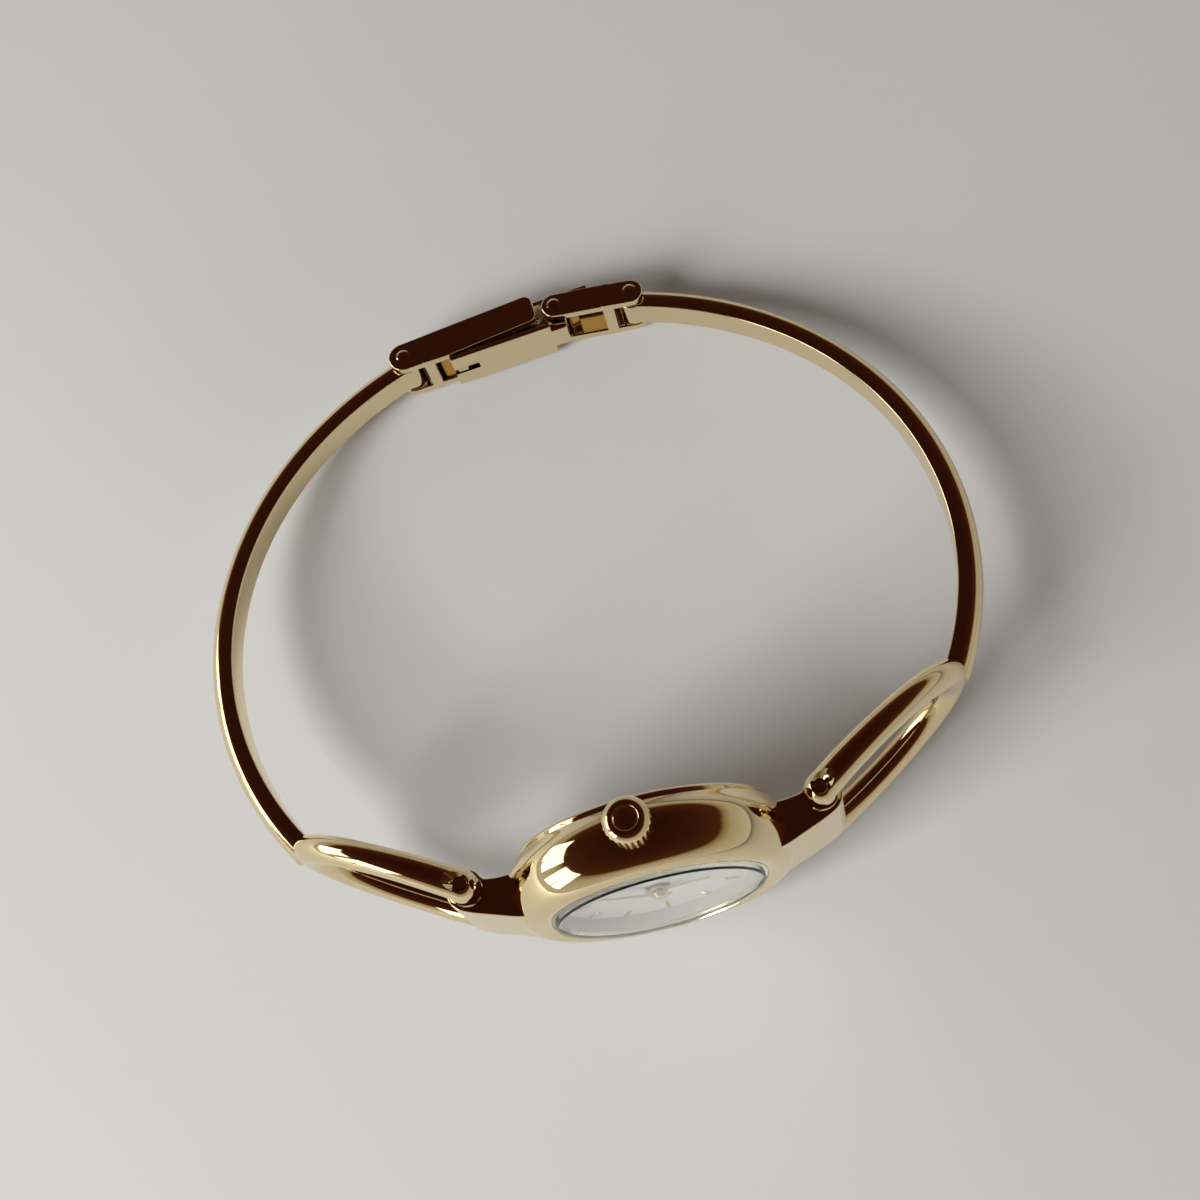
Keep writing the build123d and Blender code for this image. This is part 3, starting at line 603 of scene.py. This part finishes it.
class BangleWatchColours(bpy.types.PropertyGroup):
    """Colours of the watch that a user would change."""

    gold: bpy.props.FloatVectorProperty(
        name="Gold plate", description="Colour of the plated pieces", subtype="COLOR", size=4,
        min=0.0, max=1.0, default=linear("#ECD9AE"))
    gilt: bpy.props.FloatVectorProperty(
        name="Gilt", description="Colour of the hands and markers", subtype="COLOR", size=4,
        min=0.0, max=1.0, default=linear("#DCCBA0"))
    dial: bpy.props.FloatVectorProperty(
        name="Dial", description="Colour of the silvered dial", subtype="COLOR", size=4,
        min=0.0, max=1.0, default=linear("#A09D96"))


class BangleWatchSizes(bpy.types.PropertyGroup):
    """Sizes of the watch that a user would change."""

    bar_width: bpy.props.FloatProperty(
        name="Bar width", description="Size of the curved bars along the bangle's axis",
        default=0.0027, unit="LENGTH")
    bar_thickness: bpy.props.FloatProperty(
        name="Bar thickness", description="Size of the curved bars across the band",
        default=0.002, unit="LENGTH")
    rail_radius: bpy.props.FloatProperty(
        name="Rail radius", description="Radius of the stirrup links' round rails",
        default=0.00108, unit="LENGTH")
    bow_half_width: bpy.props.FloatProperty(
        name="Bow half width", description="Half width of the rail at the tip of the bow",
        default=0.00135, unit="LENGTH")
    crown_radius: bpy.props.FloatProperty(
        name="Crown radius", description="Outer radius of the fluted crown",
        default=measured("crown", STEM)[3] / 1000, unit="LENGTH")
    hour_hand: bpy.props.FloatProperty(
        name="Hour hand", description="Length of the hour hand from the centre",
        default=measured("hour_hand", HEAD)[3] / 1000, unit="LENGTH")
    minute_hand: bpy.props.FloatProperty(
        name="Minute hand", description="Length of the minute hand from the centre",
        default=measured("minute_hand", HEAD)[3] / 1000, unit="LENGTH")


def sizes():
    """The user's sizes."""
    return bpy.context.scene.bangle_watch_sizes


def mm(value):
    """A stored length in millimetres."""
    return value * 1000


class WATCH_OT_finishes(bpy.types.Operator):
    """Make the finishes of all pieces"""

    bl_idname = "bangle_watch.finishes"
    bl_label = "Finishes"

    def execute(self, context):
        make_finishes(context.scene.bangle_watch_colours)
        return {"FINISHED"}


class WATCH_OT_case(bpy.types.Operator):
    """Turn the mid-case with its bezel, and the snap-on back"""

    bl_idname = "bangle_watch.case"
    bl_label = "Case and back"

    def execute(self, context):
        # From the foot over the widest line, the shoulder and the crest to the bezel's edge,
        # each with the handles of its curve
        side = curve_points([
            ((FOOT_RADIUS, BACK_THICKNESS), (0, 0), (0.3, 0.55)),
            ((CASE_RADIUS, WIDEST_HEIGHT), (0, -0.8), (0, 0.5)),
            (SHOULDER, (0.12, -0.35), (-0.22, 0.62)),
            ((CREST_RADIUS, CASE_HEIGHT), (0.95, -0.1), (-0.35, 0.02)),
            ((SEAL_BORE, BEZEL_EDGE), (0.12, 0.12), (0, 0))])
        inside = [(SEAL_BORE, GLASS_BASE), (LEDGE_RADIUS, GLASS_BASE), (LEDGE_RADIUS, RING_TOP),
                  (CASE_BORE, RING_TOP), (CASE_BORE, BACK_THICKNESS)]
        case = turned_shape(side + inside, steps=256)
        add_piece("mid_case", case, HEAD, "watch_head", "case_middle", "gold_plate")
        cover = turned_shape(
            [(0, 0), (BACK_RADIUS, 0), (BACK_RADIUS, BACK_THICKNESS), (BOSS_OUTER, BACK_THICKNESS),
             (BOSS_OUTER, BOSS_TOP), (BOSS_INNER, BOSS_TOP), (BOSS_INNER, BACK_THICKNESS),
             (0, BACK_THICKNESS)],
            [(1, BACK_RIM)], closed=False, steps=256)
        add_piece("back_cover", cover, HEAD, "watch_head", "case_back", "gold_plate")
        return {"FINISHED"}


class WATCH_OT_glass(bpy.types.Operator):
    """Grind the domed crystal and set its seal and the ring below it"""

    bl_idname = "bangle_watch.glass"
    bl_label = "Crystal, seal and ring"

    def execute(self, context):
        rim = GLASS_TOP - GLASS_DOME
        flat = GLASS_RADIUS - GLASS_CHAMFER
        # Both faces share one dome, so the glass bends the sight of the dial very little
        steps = 24
        dome = [(flat * i / steps, GLASS_DOME * (1 - (i / steps) ** 2)) for i in range(steps + 1)]
        crystal = turned_shape(
            [(x, GLASS_BASE + y) for x, y in dome]
            + [(GLASS_RADIUS, GLASS_BASE), (GLASS_RADIUS, rim - GLASS_CHAMFER)]
            + [(x, rim + y) for x, y in dome[::-1]], closed=False, steps=192)
        add_piece("crystal_glass", crystal, HEAD, "watch_head", "crystal", "crystal")
        inner = GLASS_RADIUS + PLAY
        seal = turned_shape([(inner, GLASS_BASE), (SEAL_BORE, GLASS_BASE), (SEAL_BORE, SEAL_TOP),
                             (inner, SEAL_TOP)], [(3, SEAL_EDGE), (2, SEAL_EDGE)])
        add_piece("crystal_seal", seal, HEAD, "watch_head", "crystal_gasket", "grey_gasket")
        ring = turned_shape([(RING_FOOT, DIAL_TOP), (DIAL_RADIUS, DIAL_TOP),
                             (DIAL_RADIUS, RING_TOP), (LEDGE_RADIUS, RING_TOP)],
                            [(3, RING_EDGE)])
        add_piece("flange_ring", ring, HEAD, "watch_head", "dial_ring", "ring_grey")
        return {"FINISHED"}


class WATCH_OT_dial(bpy.types.Operator):
    """Stamp the dial, its markers and the two hands"""

    bl_idname = "bangle_watch.dial"
    bl_label = "Dial, markers and hands"

    def execute(self, context):
        plate = turned_shape([(DIAL_HOLE, DIAL_BASE), (DIAL_RADIUS, DIAL_BASE),
                              (DIAL_RADIUS, DIAL_TOP), (DIAL_HOLE, DIAL_TOP)])
        add_piece("dial_plate", plate, HEAD, "watch_head", "dial", "dial_silver")
        bars = bmesh.new()
        hours = 12
        for index in range(hours):
            length = MARKER_LENGTH if index % 3 else QUARTER_LENGTH
            bar = block((MARKER_REACH - length, MARKER_REACH), (-MARKER_HALF, MARKER_HALF),
                        (DIAL_TOP, DIAL_TOP + MARKER_HEIGHT), STAMPED_EDGE)
            bmesh.ops.rotate(bar, verts=bar.verts, cent=(0, 0, 0),
                             matrix=Matrix.Rotation(math.radians(360 / hours * index), 3, "Z"))
            mesh = to_mesh(bar, "marker")
            bars.from_mesh(mesh)
            bpy.data.meshes.remove(mesh)
        add_piece("hour_markers", bars, HEAD, "watch_head", "dial_markers", "gilt", flat=True)
        # Each hand has the radius of its hub and its angle from 12 o'clock, in degrees
        for name, node, length, hub, turn in (
                ("hour_pointer", "hour_hand", mm(sizes().hour_hand), 0.9, 183.0),
                ("minute_pointer", "minute_hand", mm(sizes().minute_hand), 0.7, 36.0)):
            base, top = measured(node, HEAD)[:2]
            face = base + HAND_THICKNESS
            blade = slab([(-HAND_HALF, -HAND_TAIL), (HAND_HALF, -HAND_TAIL),
                          (HAND_TIP_HALF, length), (-HAND_TIP_HALF, length)],
                         base, face, edge=STAMPED_EDGE)
            parts = [blade, post(hub, 0, 0, base, face, edge=STAMPED_EDGE)]
            if node == "minute_hand":
                parts.append(post(POST_RADIUS, 0, 0, base + 0.05, top, edge=0.1))
            hand = united(parts)
            bmesh.ops.rotate(hand, verts=hand.verts, cent=(0, 0, 0),
                             matrix=Matrix.Rotation(math.radians(-turn), 3, "Z"))
            add_piece(name, hand, HEAD, node, node, "gilt", flat=True)
        return {"FINISHED"}


class WATCH_OT_crown(bpy.types.Operator):
    """Turn the crown and cut its flutes"""

    bl_idname = "bangle_watch.crown"
    bl_label = "Crown"

    def execute(self, context):
        radius = mm(sizes().crown_radius)
        end = CROWN_END - CROWN_BASE
        bore = [(0, CROWN_BORE_DEPTH), (CROWN_BORE, CROWN_BORE_DEPTH), (CROWN_BORE, 0)]
        foot = [(radius - CROWN_CHAMFER, 0), (radius, CROWN_CHAMFER)]
        dome = curve_points([((radius, end - 0.85), (0, 0), (0, 0.36)),
                             ((radius * 0.54, end - 0.1), (0.34, 0.14), (0, 0))], 14)
        # A fine groove parts the dome from the slightly raised disc in its middle
        disc = [(0.86, end - 0.16), (0.8, end - 0.12), (0.45, end - 0.03), (0, end)]
        points_per_flute = 10
        knob = turned_shape(bore + foot + dome + disc, [(4, 0.08)], closed=False,
                            steps=FLUTES * points_per_flute)
        # The flutes run out over 0.2 mm below this height
        fade = end - FLUTES_END
        for vert in knob.verts:
            reach = math.hypot(vert.co.x, vert.co.y)
            if reach > CROWN_BORE + 0.3 and 0.02 < vert.co.z < fade:
                wave = math.cos(math.atan2(vert.co.y, vert.co.x) * FLUTES)
                depth = FLUTE_DEPTH * max(0.0, wave) ** 0.7 * min(1.0, (fade - vert.co.z) / 0.2)
                vert.co *= Vector((1 - depth / reach, 1 - depth / reach, 1))
        place = STEM @ Matrix.Translation((0, 0, CROWN_BASE))
        add_piece("crown_knob", knob, place, "crown", "crown", "gold_plate")
        return {"FINISHED"}


class WATCH_OT_lugs(bpy.types.Operator):
    """Shape the two lugs and fit their hinge pins"""

    bl_idname = "bangle_watch.lugs"
    bl_label = "Lugs and pins"

    def execute(self, context):
        lean = math.radians(LUG_LEAN)
        ahead = Vector((math.cos(lean), math.sin(lean)))
        side_step = Vector((-ahead.y, ahead.x)) * KNUCKLE
        inner = PIN.xy + side_step
        outer = PIN.xy - side_step
        # Both faces sweep from the case into the knuckle, and the root is buried in the case
        inside = curve_points([((10.55, LUG_FACE), (0, 0), (0.5, 0)),
                               ((11.9, -18.85), (-0.45, -0.1), (0.3, 0.1)),
                               (inner, -ahead * 0.35, (0, 0))], 16)
        knuckle = arc(PIN.x, PIN.y, KNUCKLE, LUG_LEAN + 90, LUG_LEAN - 90, 24)[1:-1]
        outside = curve_points([(outer, (0, 0), -ahead * 0.9),
                                ((11.65, -21.75), (0.8, 0.3), (-0.6, -0.2)),
                                ((LUG_ROOT, LUG_BACK), (0.9, 0.1), (0, 0))], 16)
        points = inside + knuckle + outside + [(LUG_ROOT, LUG_FACE)]
        for side, flip in SIDES:
            lug = slab(points, -LUG_HALF, LUG_HALF, edge=POLISHED_EDGE)
            pin = post(PIN_RADIUS, PIN.x, PIN.y, -PIN_TOP, PIN_TOP, edge=PIN_EDGE, steps=48)
            if flip:
                lug, pin = mirrored(lug), mirrored(pin)
            add_piece("lug_" + side, lug, RING, "watch_head", side + "_lug", "gold_plate",
                      flat=True)
            add_piece("pin_" + side, pin, RING, "watch_head", side + "_hinge_pin", "gold_plate")
        return {"FINISHED"}


class WATCH_OT_stirrups(bpy.types.Operator):
    """Draw the two horseshoe links with their eyes"""

    bl_idname = "bangle_watch.stirrups"
    bl_label = "Stirrup links"

    def execute(self, context):
        rail, bow = mm(sizes().rail_radius), mm(sizes().bow_half_width)
        lean = Matrix.Rotation(STIRRUP_ANGLE, 4, "Z")
        plane = Matrix.Translation(PIN) @ lean @ Matrix(
            ((1, 0, 0, 0), (0, 0, -1, 0), (0, 1, 0, 0), (0, 0, 0, 1)))
        turn = math.acos(-OVAL_CENTRE / OVAL_HALF_LENGTH)
        places = []
        steps = 112
        for i in range(steps + 1):
            angle = turn * (1 - 2 * i / steps)
            # The rail swells to the size of its eye near both ends
            near = max(0.0, abs(angle) / turn - SWELL_START) / (1 - SWELL_START)
            swell = rail + (EYE_RADIUS - SWELL_INSET - rail) * near ** 2 * (3 - 2 * near)
            spot = Vector((OVAL_CENTRE + OVAL_HALF_LENGTH * math.cos(angle),
                           OVAL_HALF_WIDTH * math.sin(angle)))
            out = Vector((OVAL_HALF_WIDTH * math.cos(angle),
                          OVAL_HALF_LENGTH * math.sin(angle))).normalized()
            wide = swell + (bow - rail) * (0.5 + 0.5 * math.cos(math.pi * angle / turn))
            # The wire's X goes across the rail in the link's plane, its Y out of that plane
            across = Matrix(((out.x * wide, 0, out.y, spot.x), (out.y * wide, 0, -out.x, spot.y),
                             (0, swell, 0, 0), (0, 0, 0, 1)))
            places.append(plane @ across)
        low = LUG_HALF + SIDE_PLAY
        middle = OVAL_HALF_WIDTH * math.sin(turn)
        hole = PIN_RADIUS + HINGE_CLEARANCE
        sink = COUNTERSINK
        # The countersink meets the ball of the eye at this height, and its cut runs on past it
        top = middle + math.sqrt(EYE_RADIUS ** 2 - (hole + sink) ** 2)
        past = 1
        for side, flip in SIDES:
            link = drawn(round_wire(48), places)
            eyes = []
            for way in (1, -1):
                ball = [(x, z) for z, x in arc(middle, 0, EYE_RADIUS, 90, 0, 20)]
                rim = [(0, low), (EYE_RADIUS - EYE_RIM, low), (EYE_RADIUS, low + EYE_RIM)]
                eye = turned_shape(rim + ball, closed=False, steps=64)
                if way < 0:
                    bmesh.ops.scale(eye, verts=eye.verts, vec=(1, 1, -1))
                    bmesh.ops.reverse_faces(eye, faces=eye.faces)
                bmesh.ops.translate(eye, verts=eye.verts, vec=PIN)
                eyes.append(eye)
            bore = turned_shape(
                [(0, -top - past), (hole + sink + past, -top - past), (hole, sink - top),
                 (hole, top - sink), (hole + sink + past, top + past), (0, top + past)],
                closed=False, steps=64)
            bmesh.ops.translate(bore, verts=bore.verts, vec=PIN)
            link = united([link, *eyes],
                          [bore, post(KNUCKLE + SIDE_PLAY, PIN.x, PIN.y, -low, low)])
            if flip:
                link = mirrored(link)
            add_piece("stirrup_" + side, link, RING, side + "_arm", side + "_stirrup",
                      "gold_plate")
        return {"FINISHED"}


class WATCH_OT_bars(bpy.types.Operator):
    """Bend the two curved bars, with a knuckle at the clasp end"""

    bl_idname = "bangle_watch.bars"
    bl_label = "Curved bars"

    def execute(self, context):
        width, thick = mm(sizes().bar_width), mm(sizes().bar_thickness)
        seat = PIN + Matrix.Rotation(STIRRUP_ANGLE, 3, "Z") @ Vector(
            (OVAL_CENTRE + OVAL_HALF_LENGTH, 0, 0))
        end = math.acos(LINK_PIVOT.x / (BAND_HALF_WIDTH - thick / 2))
        start = -math.acos(seat.x / (BAND_HALF_WIDTH - thick / 2)) + BAR_START
        half, tall, crest = thick / 2, width / 2, BAR_CREST
        # The outer face is a half oval, and the inner face is flat with rounded corners
        face = [(half - crest + crest * math.cos(t), tall * math.sin(t)) for t in
                [math.radians(i * 7.5 - 90) for i in range(25)]]
        steps = 120
        for side, flip in SIDES:
            places = []
            for i in range(steps + 1):
                spot, ahead = band_point(start + (end - start) * i / steps, half)
                places.append(Matrix.Translation(spot) @ Matrix((
                    (ahead.y, 0, ahead.x, 0), (-ahead.x, 0, ahead.y, 0), (0, 1, 0, 0),
                    (0, 0, 0, 1))))
            section = outline([(-half, -tall), *face, (-half, tall)],
                              [(0, BAR_CORNER), (len(face) + 1, BAR_CORNER)])
            bar = drawn(section, places)
            knuckle = post(BAR_KNUCKLE, LINK_PIVOT.x, LINK_PIVOT.y, -tall, tall,
                           edge=BAR_KNUCKLE_EDGE)
            bar = united([bar, knuckle],
                         [post(RIVET_BORE, LINK_PIVOT.x, LINK_PIVOT.y, *THROUGH)])
            if flip:
                bar = mirrored(bar)
            add_piece("bar_" + side, bar, RING, side + "_arm", side + "_bar", "gold_plate")
        return {"FINISHED"}


def side_plates(points):
    """The two side plates of a clasp piece."""
    inner = PLATE_HALF - PLATE
    return [slab(points, inner, PLATE_HALF, edge=POLISHED_EDGE),
            slab(points, -PLATE_HALF, -inner, edge=POLISHED_EDGE)]


class WATCH_OT_clasp(bpy.types.Operator):
    """Build the clasp: housing, slotted leaf and short link"""

    bl_idname = "bangle_watch.clasp"
    bl_label = "Clasp"

    def execute(self, context):
        wide = (-PLATE_HALF, PLATE_HALF)
        end, corner, length = HOUSING_END, HOUSING_CORNER, HOUSING_LENGTH
        # The far end stands a little outwards, which leaves a narrow wedge beside the leaf
        rise = HOUSING_RISE
        plates = side_plates(arc(0, 0, end, 94, 270) + [(HOUSING_BEND, -end)]
                             + arc(length - corner, rise + corner - end, corner, -86, 0, 8)
                             + arc(length - corner, rise + end - corner, corner, 0, 92, 8))
        lip = LINK_END + TONGUE_GAP
        roof = block((ROOF_START, length - corner), (end - ROOF, end - INSET), wide)
        raised_roof = block((length / 2, length - corner), (end - 0.1, end + rise * 0.45), wide)
        bridge = block((1.45, 2.35), (-end + INSET, BRIDGE - end), wide)
        tongue = block((length - 2 * corner, LEAF_REACH + TONGUE_REACH),
                       (lip, lip + TONGUE_THICKNESS), (-TONGUE_HALF, TONGUE_HALF), 0.12)
        catch = block((CATCH_START, CATCH_END), (-end - LEAF_GAP - CATCH_DEPTH, end - 0.25),
                      (-CATCH_HALF, CATCH_HALF), 0.05)
        housing = united([*plates, roof, raised_roof, bridge, tongue, catch],
                         [post(RIVET_RADIUS, 0, 0, *THROUGH)])
        add_piece("housing_shell", housing, HOUSING, "clasp_housing", "clasp_housing",
                  "gold_plate", flat=True)

        top = -end - LEAF_GAP
        base = top - LEAF_THICKNESS
        reach = LEAF_REACH
        neck = (-NECK_HALF, NECK_HALF)
        plate = block((LEAF_START, reach - LEAF_END), (base, top), (-LEAF_HALF, LEAF_HALF))
        rib = block((6.2, reach - 0.3), (base + 0.02, top + 0.35), neck)
        # The neck climbs from the plate to the knuckle round the rivet
        climb = slab([(length - 1.1, base + INSET), (reach + NECK_REACH, base + INSET),
                      (reach + NECK_REACH, 0), (reach - NECK_REACH, NECK_REACH)],
                     *neck, [(1, 0.3)], 0.06)
        knuckle = post(LINK_END - 0.05, reach, 0, *neck, edge=0.08)
        slot = block((SLOT_START, SLOT_END), (base - 1, top + 1), (-SLOT_HALF, SLOT_HALF), 0.0)
        leaf = united([plate, rib, climb, knuckle], [slot, post(RIVET_BORE, reach, 0, *THROUGH)])
        add_piece("leaf_plate", leaf, HOUSING, "clasp_leaf", "clasp_leaf", "gold_plate",
                  flat=True)

        end, length = LINK_END, LINK_REACH
        plates = side_plates(arc(0, 0, end, 90, 270) + arc(length, 0, end, -90, 90))
        roof = block((ROOF_START, length - ROOF_START), (end - LINK_ROOF, end - INSET), wide)
        bridge = block((length - 2.5, length - 1.55), (-end + INSET, BRIDGE - end), wide)
        link = united([*plates, roof, bridge],
                      [post(RIVET_RADIUS, 0, 0, *THROUGH), post(RIVET_RADIUS, length, 0, *THROUGH)])
        add_piece("short_link", link, LINK, "clasp_link", "clasp_link", "gold_plate", flat=True)
        return {"FINISHED"}


class WATCH_OT_rivets(bpy.types.Operator):
    """Head the three clasp rivets"""

    bl_idname = "bangle_watch.rivets"
    bl_label = "Rivets"

    def execute(self, context):
        for name, spot, body in (("housing_rivet", HOUSING_PIVOT, "clasp_housing"),
                                 ("leaf_rivet", LEAF_PIVOT, "clasp_link"),
                                 ("link_rivet", LINK_PIVOT, "clasp_link")):
            face, top, head = PLATE_HALF, RIVET_TOP, RIVET_HEAD
            # The dome's radii are shares of the head's, and its heights count from the top
            dome = [(0.9, -0.09), (0.74, -0.04), (0.5, 0), (0.25, 0.01), (0, 0.015)]
            half = [(RIVET_RADIUS, face - 0.1), (head, face - 0.02), (head, face + 0.04)]
            half += [(head * share, top + lift) for share, lift in dome]
            profile = [(r, -z) for r, z in half[::-1]] + half
            rivet = turned_shape(profile, closed=False, steps=64)
            bmesh.ops.translate(rivet, verts=rivet.verts, vec=spot)
            add_piece(name + "_head", rivet, RING, body, name, "gold_plate")
        return {"FINISHED"}


class WATCH_OT_inside(bpy.types.Operator):
    """Dress the pieces inside the case, which keep their CAD shape"""

    bl_idname = "bangle_watch.inside"
    bl_label = "Movement and inner pieces"

    def execute(self, context):
        slots = {part["node"]: part["material_slot"] for part in frame["record"]["subparts"]}
        for name, node in frame["nodes"].items():
            if not node.hide_render:
                node.data.materials.clear()
                node.data.materials.append(FINISHES[slots[name]])
        return {"FINISHED"}


# The camera's place in the ring frame, its turns about X, Y and Z in degrees, and its focal
# length in pixels of a frame 1200 wide
CAMERA_PLACE = Vector((9.176, -52.747, 123.201))
CAMERA_TURNS = (22.2652, 9.3387, -13.1255)
CAMERA_FOCAL = 1700.0
PHOTO_WIDTH = 1200
SENSOR_WIDTH = 36.0

DAYLIGHT = "#FBFDFF"
TABLE_RADIUS = 1.5
# Azimuths of the panes of two windows, and their height over the table, in degrees
PANES = (150, 163, 176, 198, 211)
PANE_HEIGHT = 17
# Colours of the room from the level of the table, 0, to straight up, 1, and how much of the
# height the dark part loses towards the back
ROOM = ((0.0, "#BDBAB4"), (0.3, "#A8A091"), (0.41, "#857553"), (0.46, "#462715"),
        (0.75, "#38190F"), (1.0, "#2A120B"))
BACK_LOWERS = 0.28


def add_lamp(name, azimuth, height, distance, size, power, colour, glossy):
    """Area lamp that faces the watch, at an azimuth and a height angle in degrees. A lamp that
    is not glossy lights the table and the dial, and leaves no square patch on the gold."""
    lamp = bpy.data.lights.new(name, "AREA")
    lamp.shape = "RECTANGLE"
    lamp.size, lamp.size_y = size
    lamp.energy = power
    lamp.color = linear(colour)[:3]
    holder = bpy.data.objects.new(name, lamp)
    level = distance * math.cos(math.radians(height))
    place = Vector((level * math.cos(math.radians(azimuth)),
                    level * math.sin(math.radians(azimuth)),
                    distance * math.sin(math.radians(height))))
    holder.location = place
    holder.rotation_euler = (-place).to_track_quat("-Z", "Y").to_euler()
    holder.visible_glossy = glossy
    bpy.context.scene.collection.objects.link(holder)


class WATCH_OT_stage(bpy.types.Operator):
    """Set the table top, the window light and the camera"""

    bl_idname = "bangle_watch.stage"
    bl_label = "Studio"

    def execute(self, context):
        scene = context.scene
        table = bmesh.new()
        bmesh.ops.create_circle(table, cap_ends=True, radius=TABLE_RADIUS, segments=96)
        material = plain_finish("painted_board_matt", "#CECECC", "#D3D3D1", 0.65, 0.02)
        mesh = to_mesh(table, "table_top")
        mesh.materials.append(material)
        floor = bpy.data.objects.new("table_top", mesh)
        scene.collection.objects.link(floor)

        # Soft daylight from the front left gives the shadows, a weak lamp overhead fills them,
        # and a low one in front lights the case and the table before it. The panes at the left,
        # which the polished gold mirrors, are just bright enough for its cream highlights. Each
        # lamp has its azimuth, height angle, distance, size, power, colour and glossiness.
        add_lamp("daylight", 205, 38, 0.55, (0.26, 0.3), 3.55, DAYLIGHT, False)
        add_lamp("ceiling", 60, 80, 1.0, (0.9, 0.9), 0.4, "#FFFFFF", False)
        add_lamp("front", 275, 8, 0.9, (0.6, 0.2), 2.6, DAYLIGHT, False)
        for index, azimuth in enumerate(PANES):
            add_lamp(f"window_pane_{index}", azimuth, PANE_HEIGHT, 1.2, (0.24, 0.5), 0.87,
                     "#FFFCF4", True)

        world = bpy.data.worlds.new("room")
        scene.world = world
        world.use_nodes = True
        tree = world.node_tree
        tree.nodes.clear()
        way = add_node(tree, "ShaderNodeTexCoord")
        parts = add_node(tree, "ShaderNodeSeparateXYZ", {"Vector": way.outputs["Generated"]})
        # Pale walls near the table, and a dark warm ceiling that the upward faces mirror. The
        # dark part comes lower at the back of the room.
        back = add_node(tree, "ShaderNodeMath", {0: parts.outputs["Y"], 1: 0.0},
                        operation="MAXIMUM")
        level = add_node(tree, "ShaderNodeMath",
                         {0: back.outputs[0], 1: BACK_LOWERS, 2: parts.outputs["Z"]},
                         operation="MULTIPLY_ADD")
        shade = add_node(tree, "ShaderNodeValToRGB", {"Fac": level.outputs[0]})
        ramp = shade.color_ramp
        # A new ramp has its two ends already
        ramp.elements[0].color = linear(ROOM[0][1])
        ramp.elements[1].color = linear(ROOM[-1][1])
        for position, code in ROOM[1:-1]:
            ramp.elements.new(position).color = linear(code)
        room = add_node(tree, "ShaderNodeBackground", {"Color": shade.outputs[0], "Strength": 1.0})
        add_node(tree, "ShaderNodeOutputWorld", {"Surface": room.outputs[0]})

        view = bpy.data.cameras.new("photograph")
        view.sensor_width = SENSOR_WIDTH
        view.lens = CAMERA_FOCAL / PHOTO_WIDTH * SENSOR_WIDTH
        view.clip_start, view.clip_end = 0.005, 20.0
        camera = bpy.data.objects.new("photograph", view)
        scene.collection.objects.link(camera)
        spin = Euler([math.radians(turn) for turn in CAMERA_TURNS], "XYZ").to_matrix().to_4x4()
        camera.matrix_world = Matrix.Translation(RING @ CAMERA_PLACE) @ TURN @ spin
        scene.camera = camera
        scene.view_settings.view_transform = "Standard"
        return {"FINISHED"}


OPERATORS = (WATCH_OT_finishes, WATCH_OT_case, WATCH_OT_glass, WATCH_OT_dial, WATCH_OT_crown,
             WATCH_OT_lugs, WATCH_OT_stirrups, WATCH_OT_bars, WATCH_OT_clasp, WATCH_OT_rivets,
             WATCH_OT_inside, WATCH_OT_stage)


class WATCH_PT_panel(bpy.types.Panel):
    """Lists the pieces of the bangle watch"""

    bl_idname = "WATCH_PT_panel"
    bl_label = "Bangle Watch"
    bl_space_type = "VIEW_3D"
    bl_region_type = "UI"
    bl_category = "Bangle Watch"

    def draw(self, context):
        for settings in (context.scene.bangle_watch_colours, context.scene.bangle_watch_sizes):
            for name in settings.__annotations__:
                self.layout.prop(settings, name)
        for operator in OPERATORS:
            self.layout.operator(operator.bl_idname)


CLASSES = (BangleWatchColours, BangleWatchSizes, *OPERATORS, WATCH_PT_panel)


def register():
    """Makes the classes and the settings known to Blender."""
    for item in CLASSES:
        bpy.utils.register_class(item)
    bpy.types.Scene.bangle_watch_colours = bpy.props.PointerProperty(type=BangleWatchColours)
    bpy.types.Scene.bangle_watch_sizes = bpy.props.PointerProperty(type=BangleWatchSizes)


def unregister():
    """Takes the settings and the classes away again."""
    del bpy.types.Scene.bangle_watch_sizes
    del bpy.types.Scene.bangle_watch_colours
    for item in reversed(CLASSES):
        bpy.utils.unregister_class(item)


def main():
    """Builds the whole watch."""
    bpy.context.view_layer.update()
    register()
    for operator in OPERATORS:
        group, name = operator.bl_idname.split(".")
        getattr(getattr(bpy.ops, group), name)()


if __name__ == "__main__":
    main()
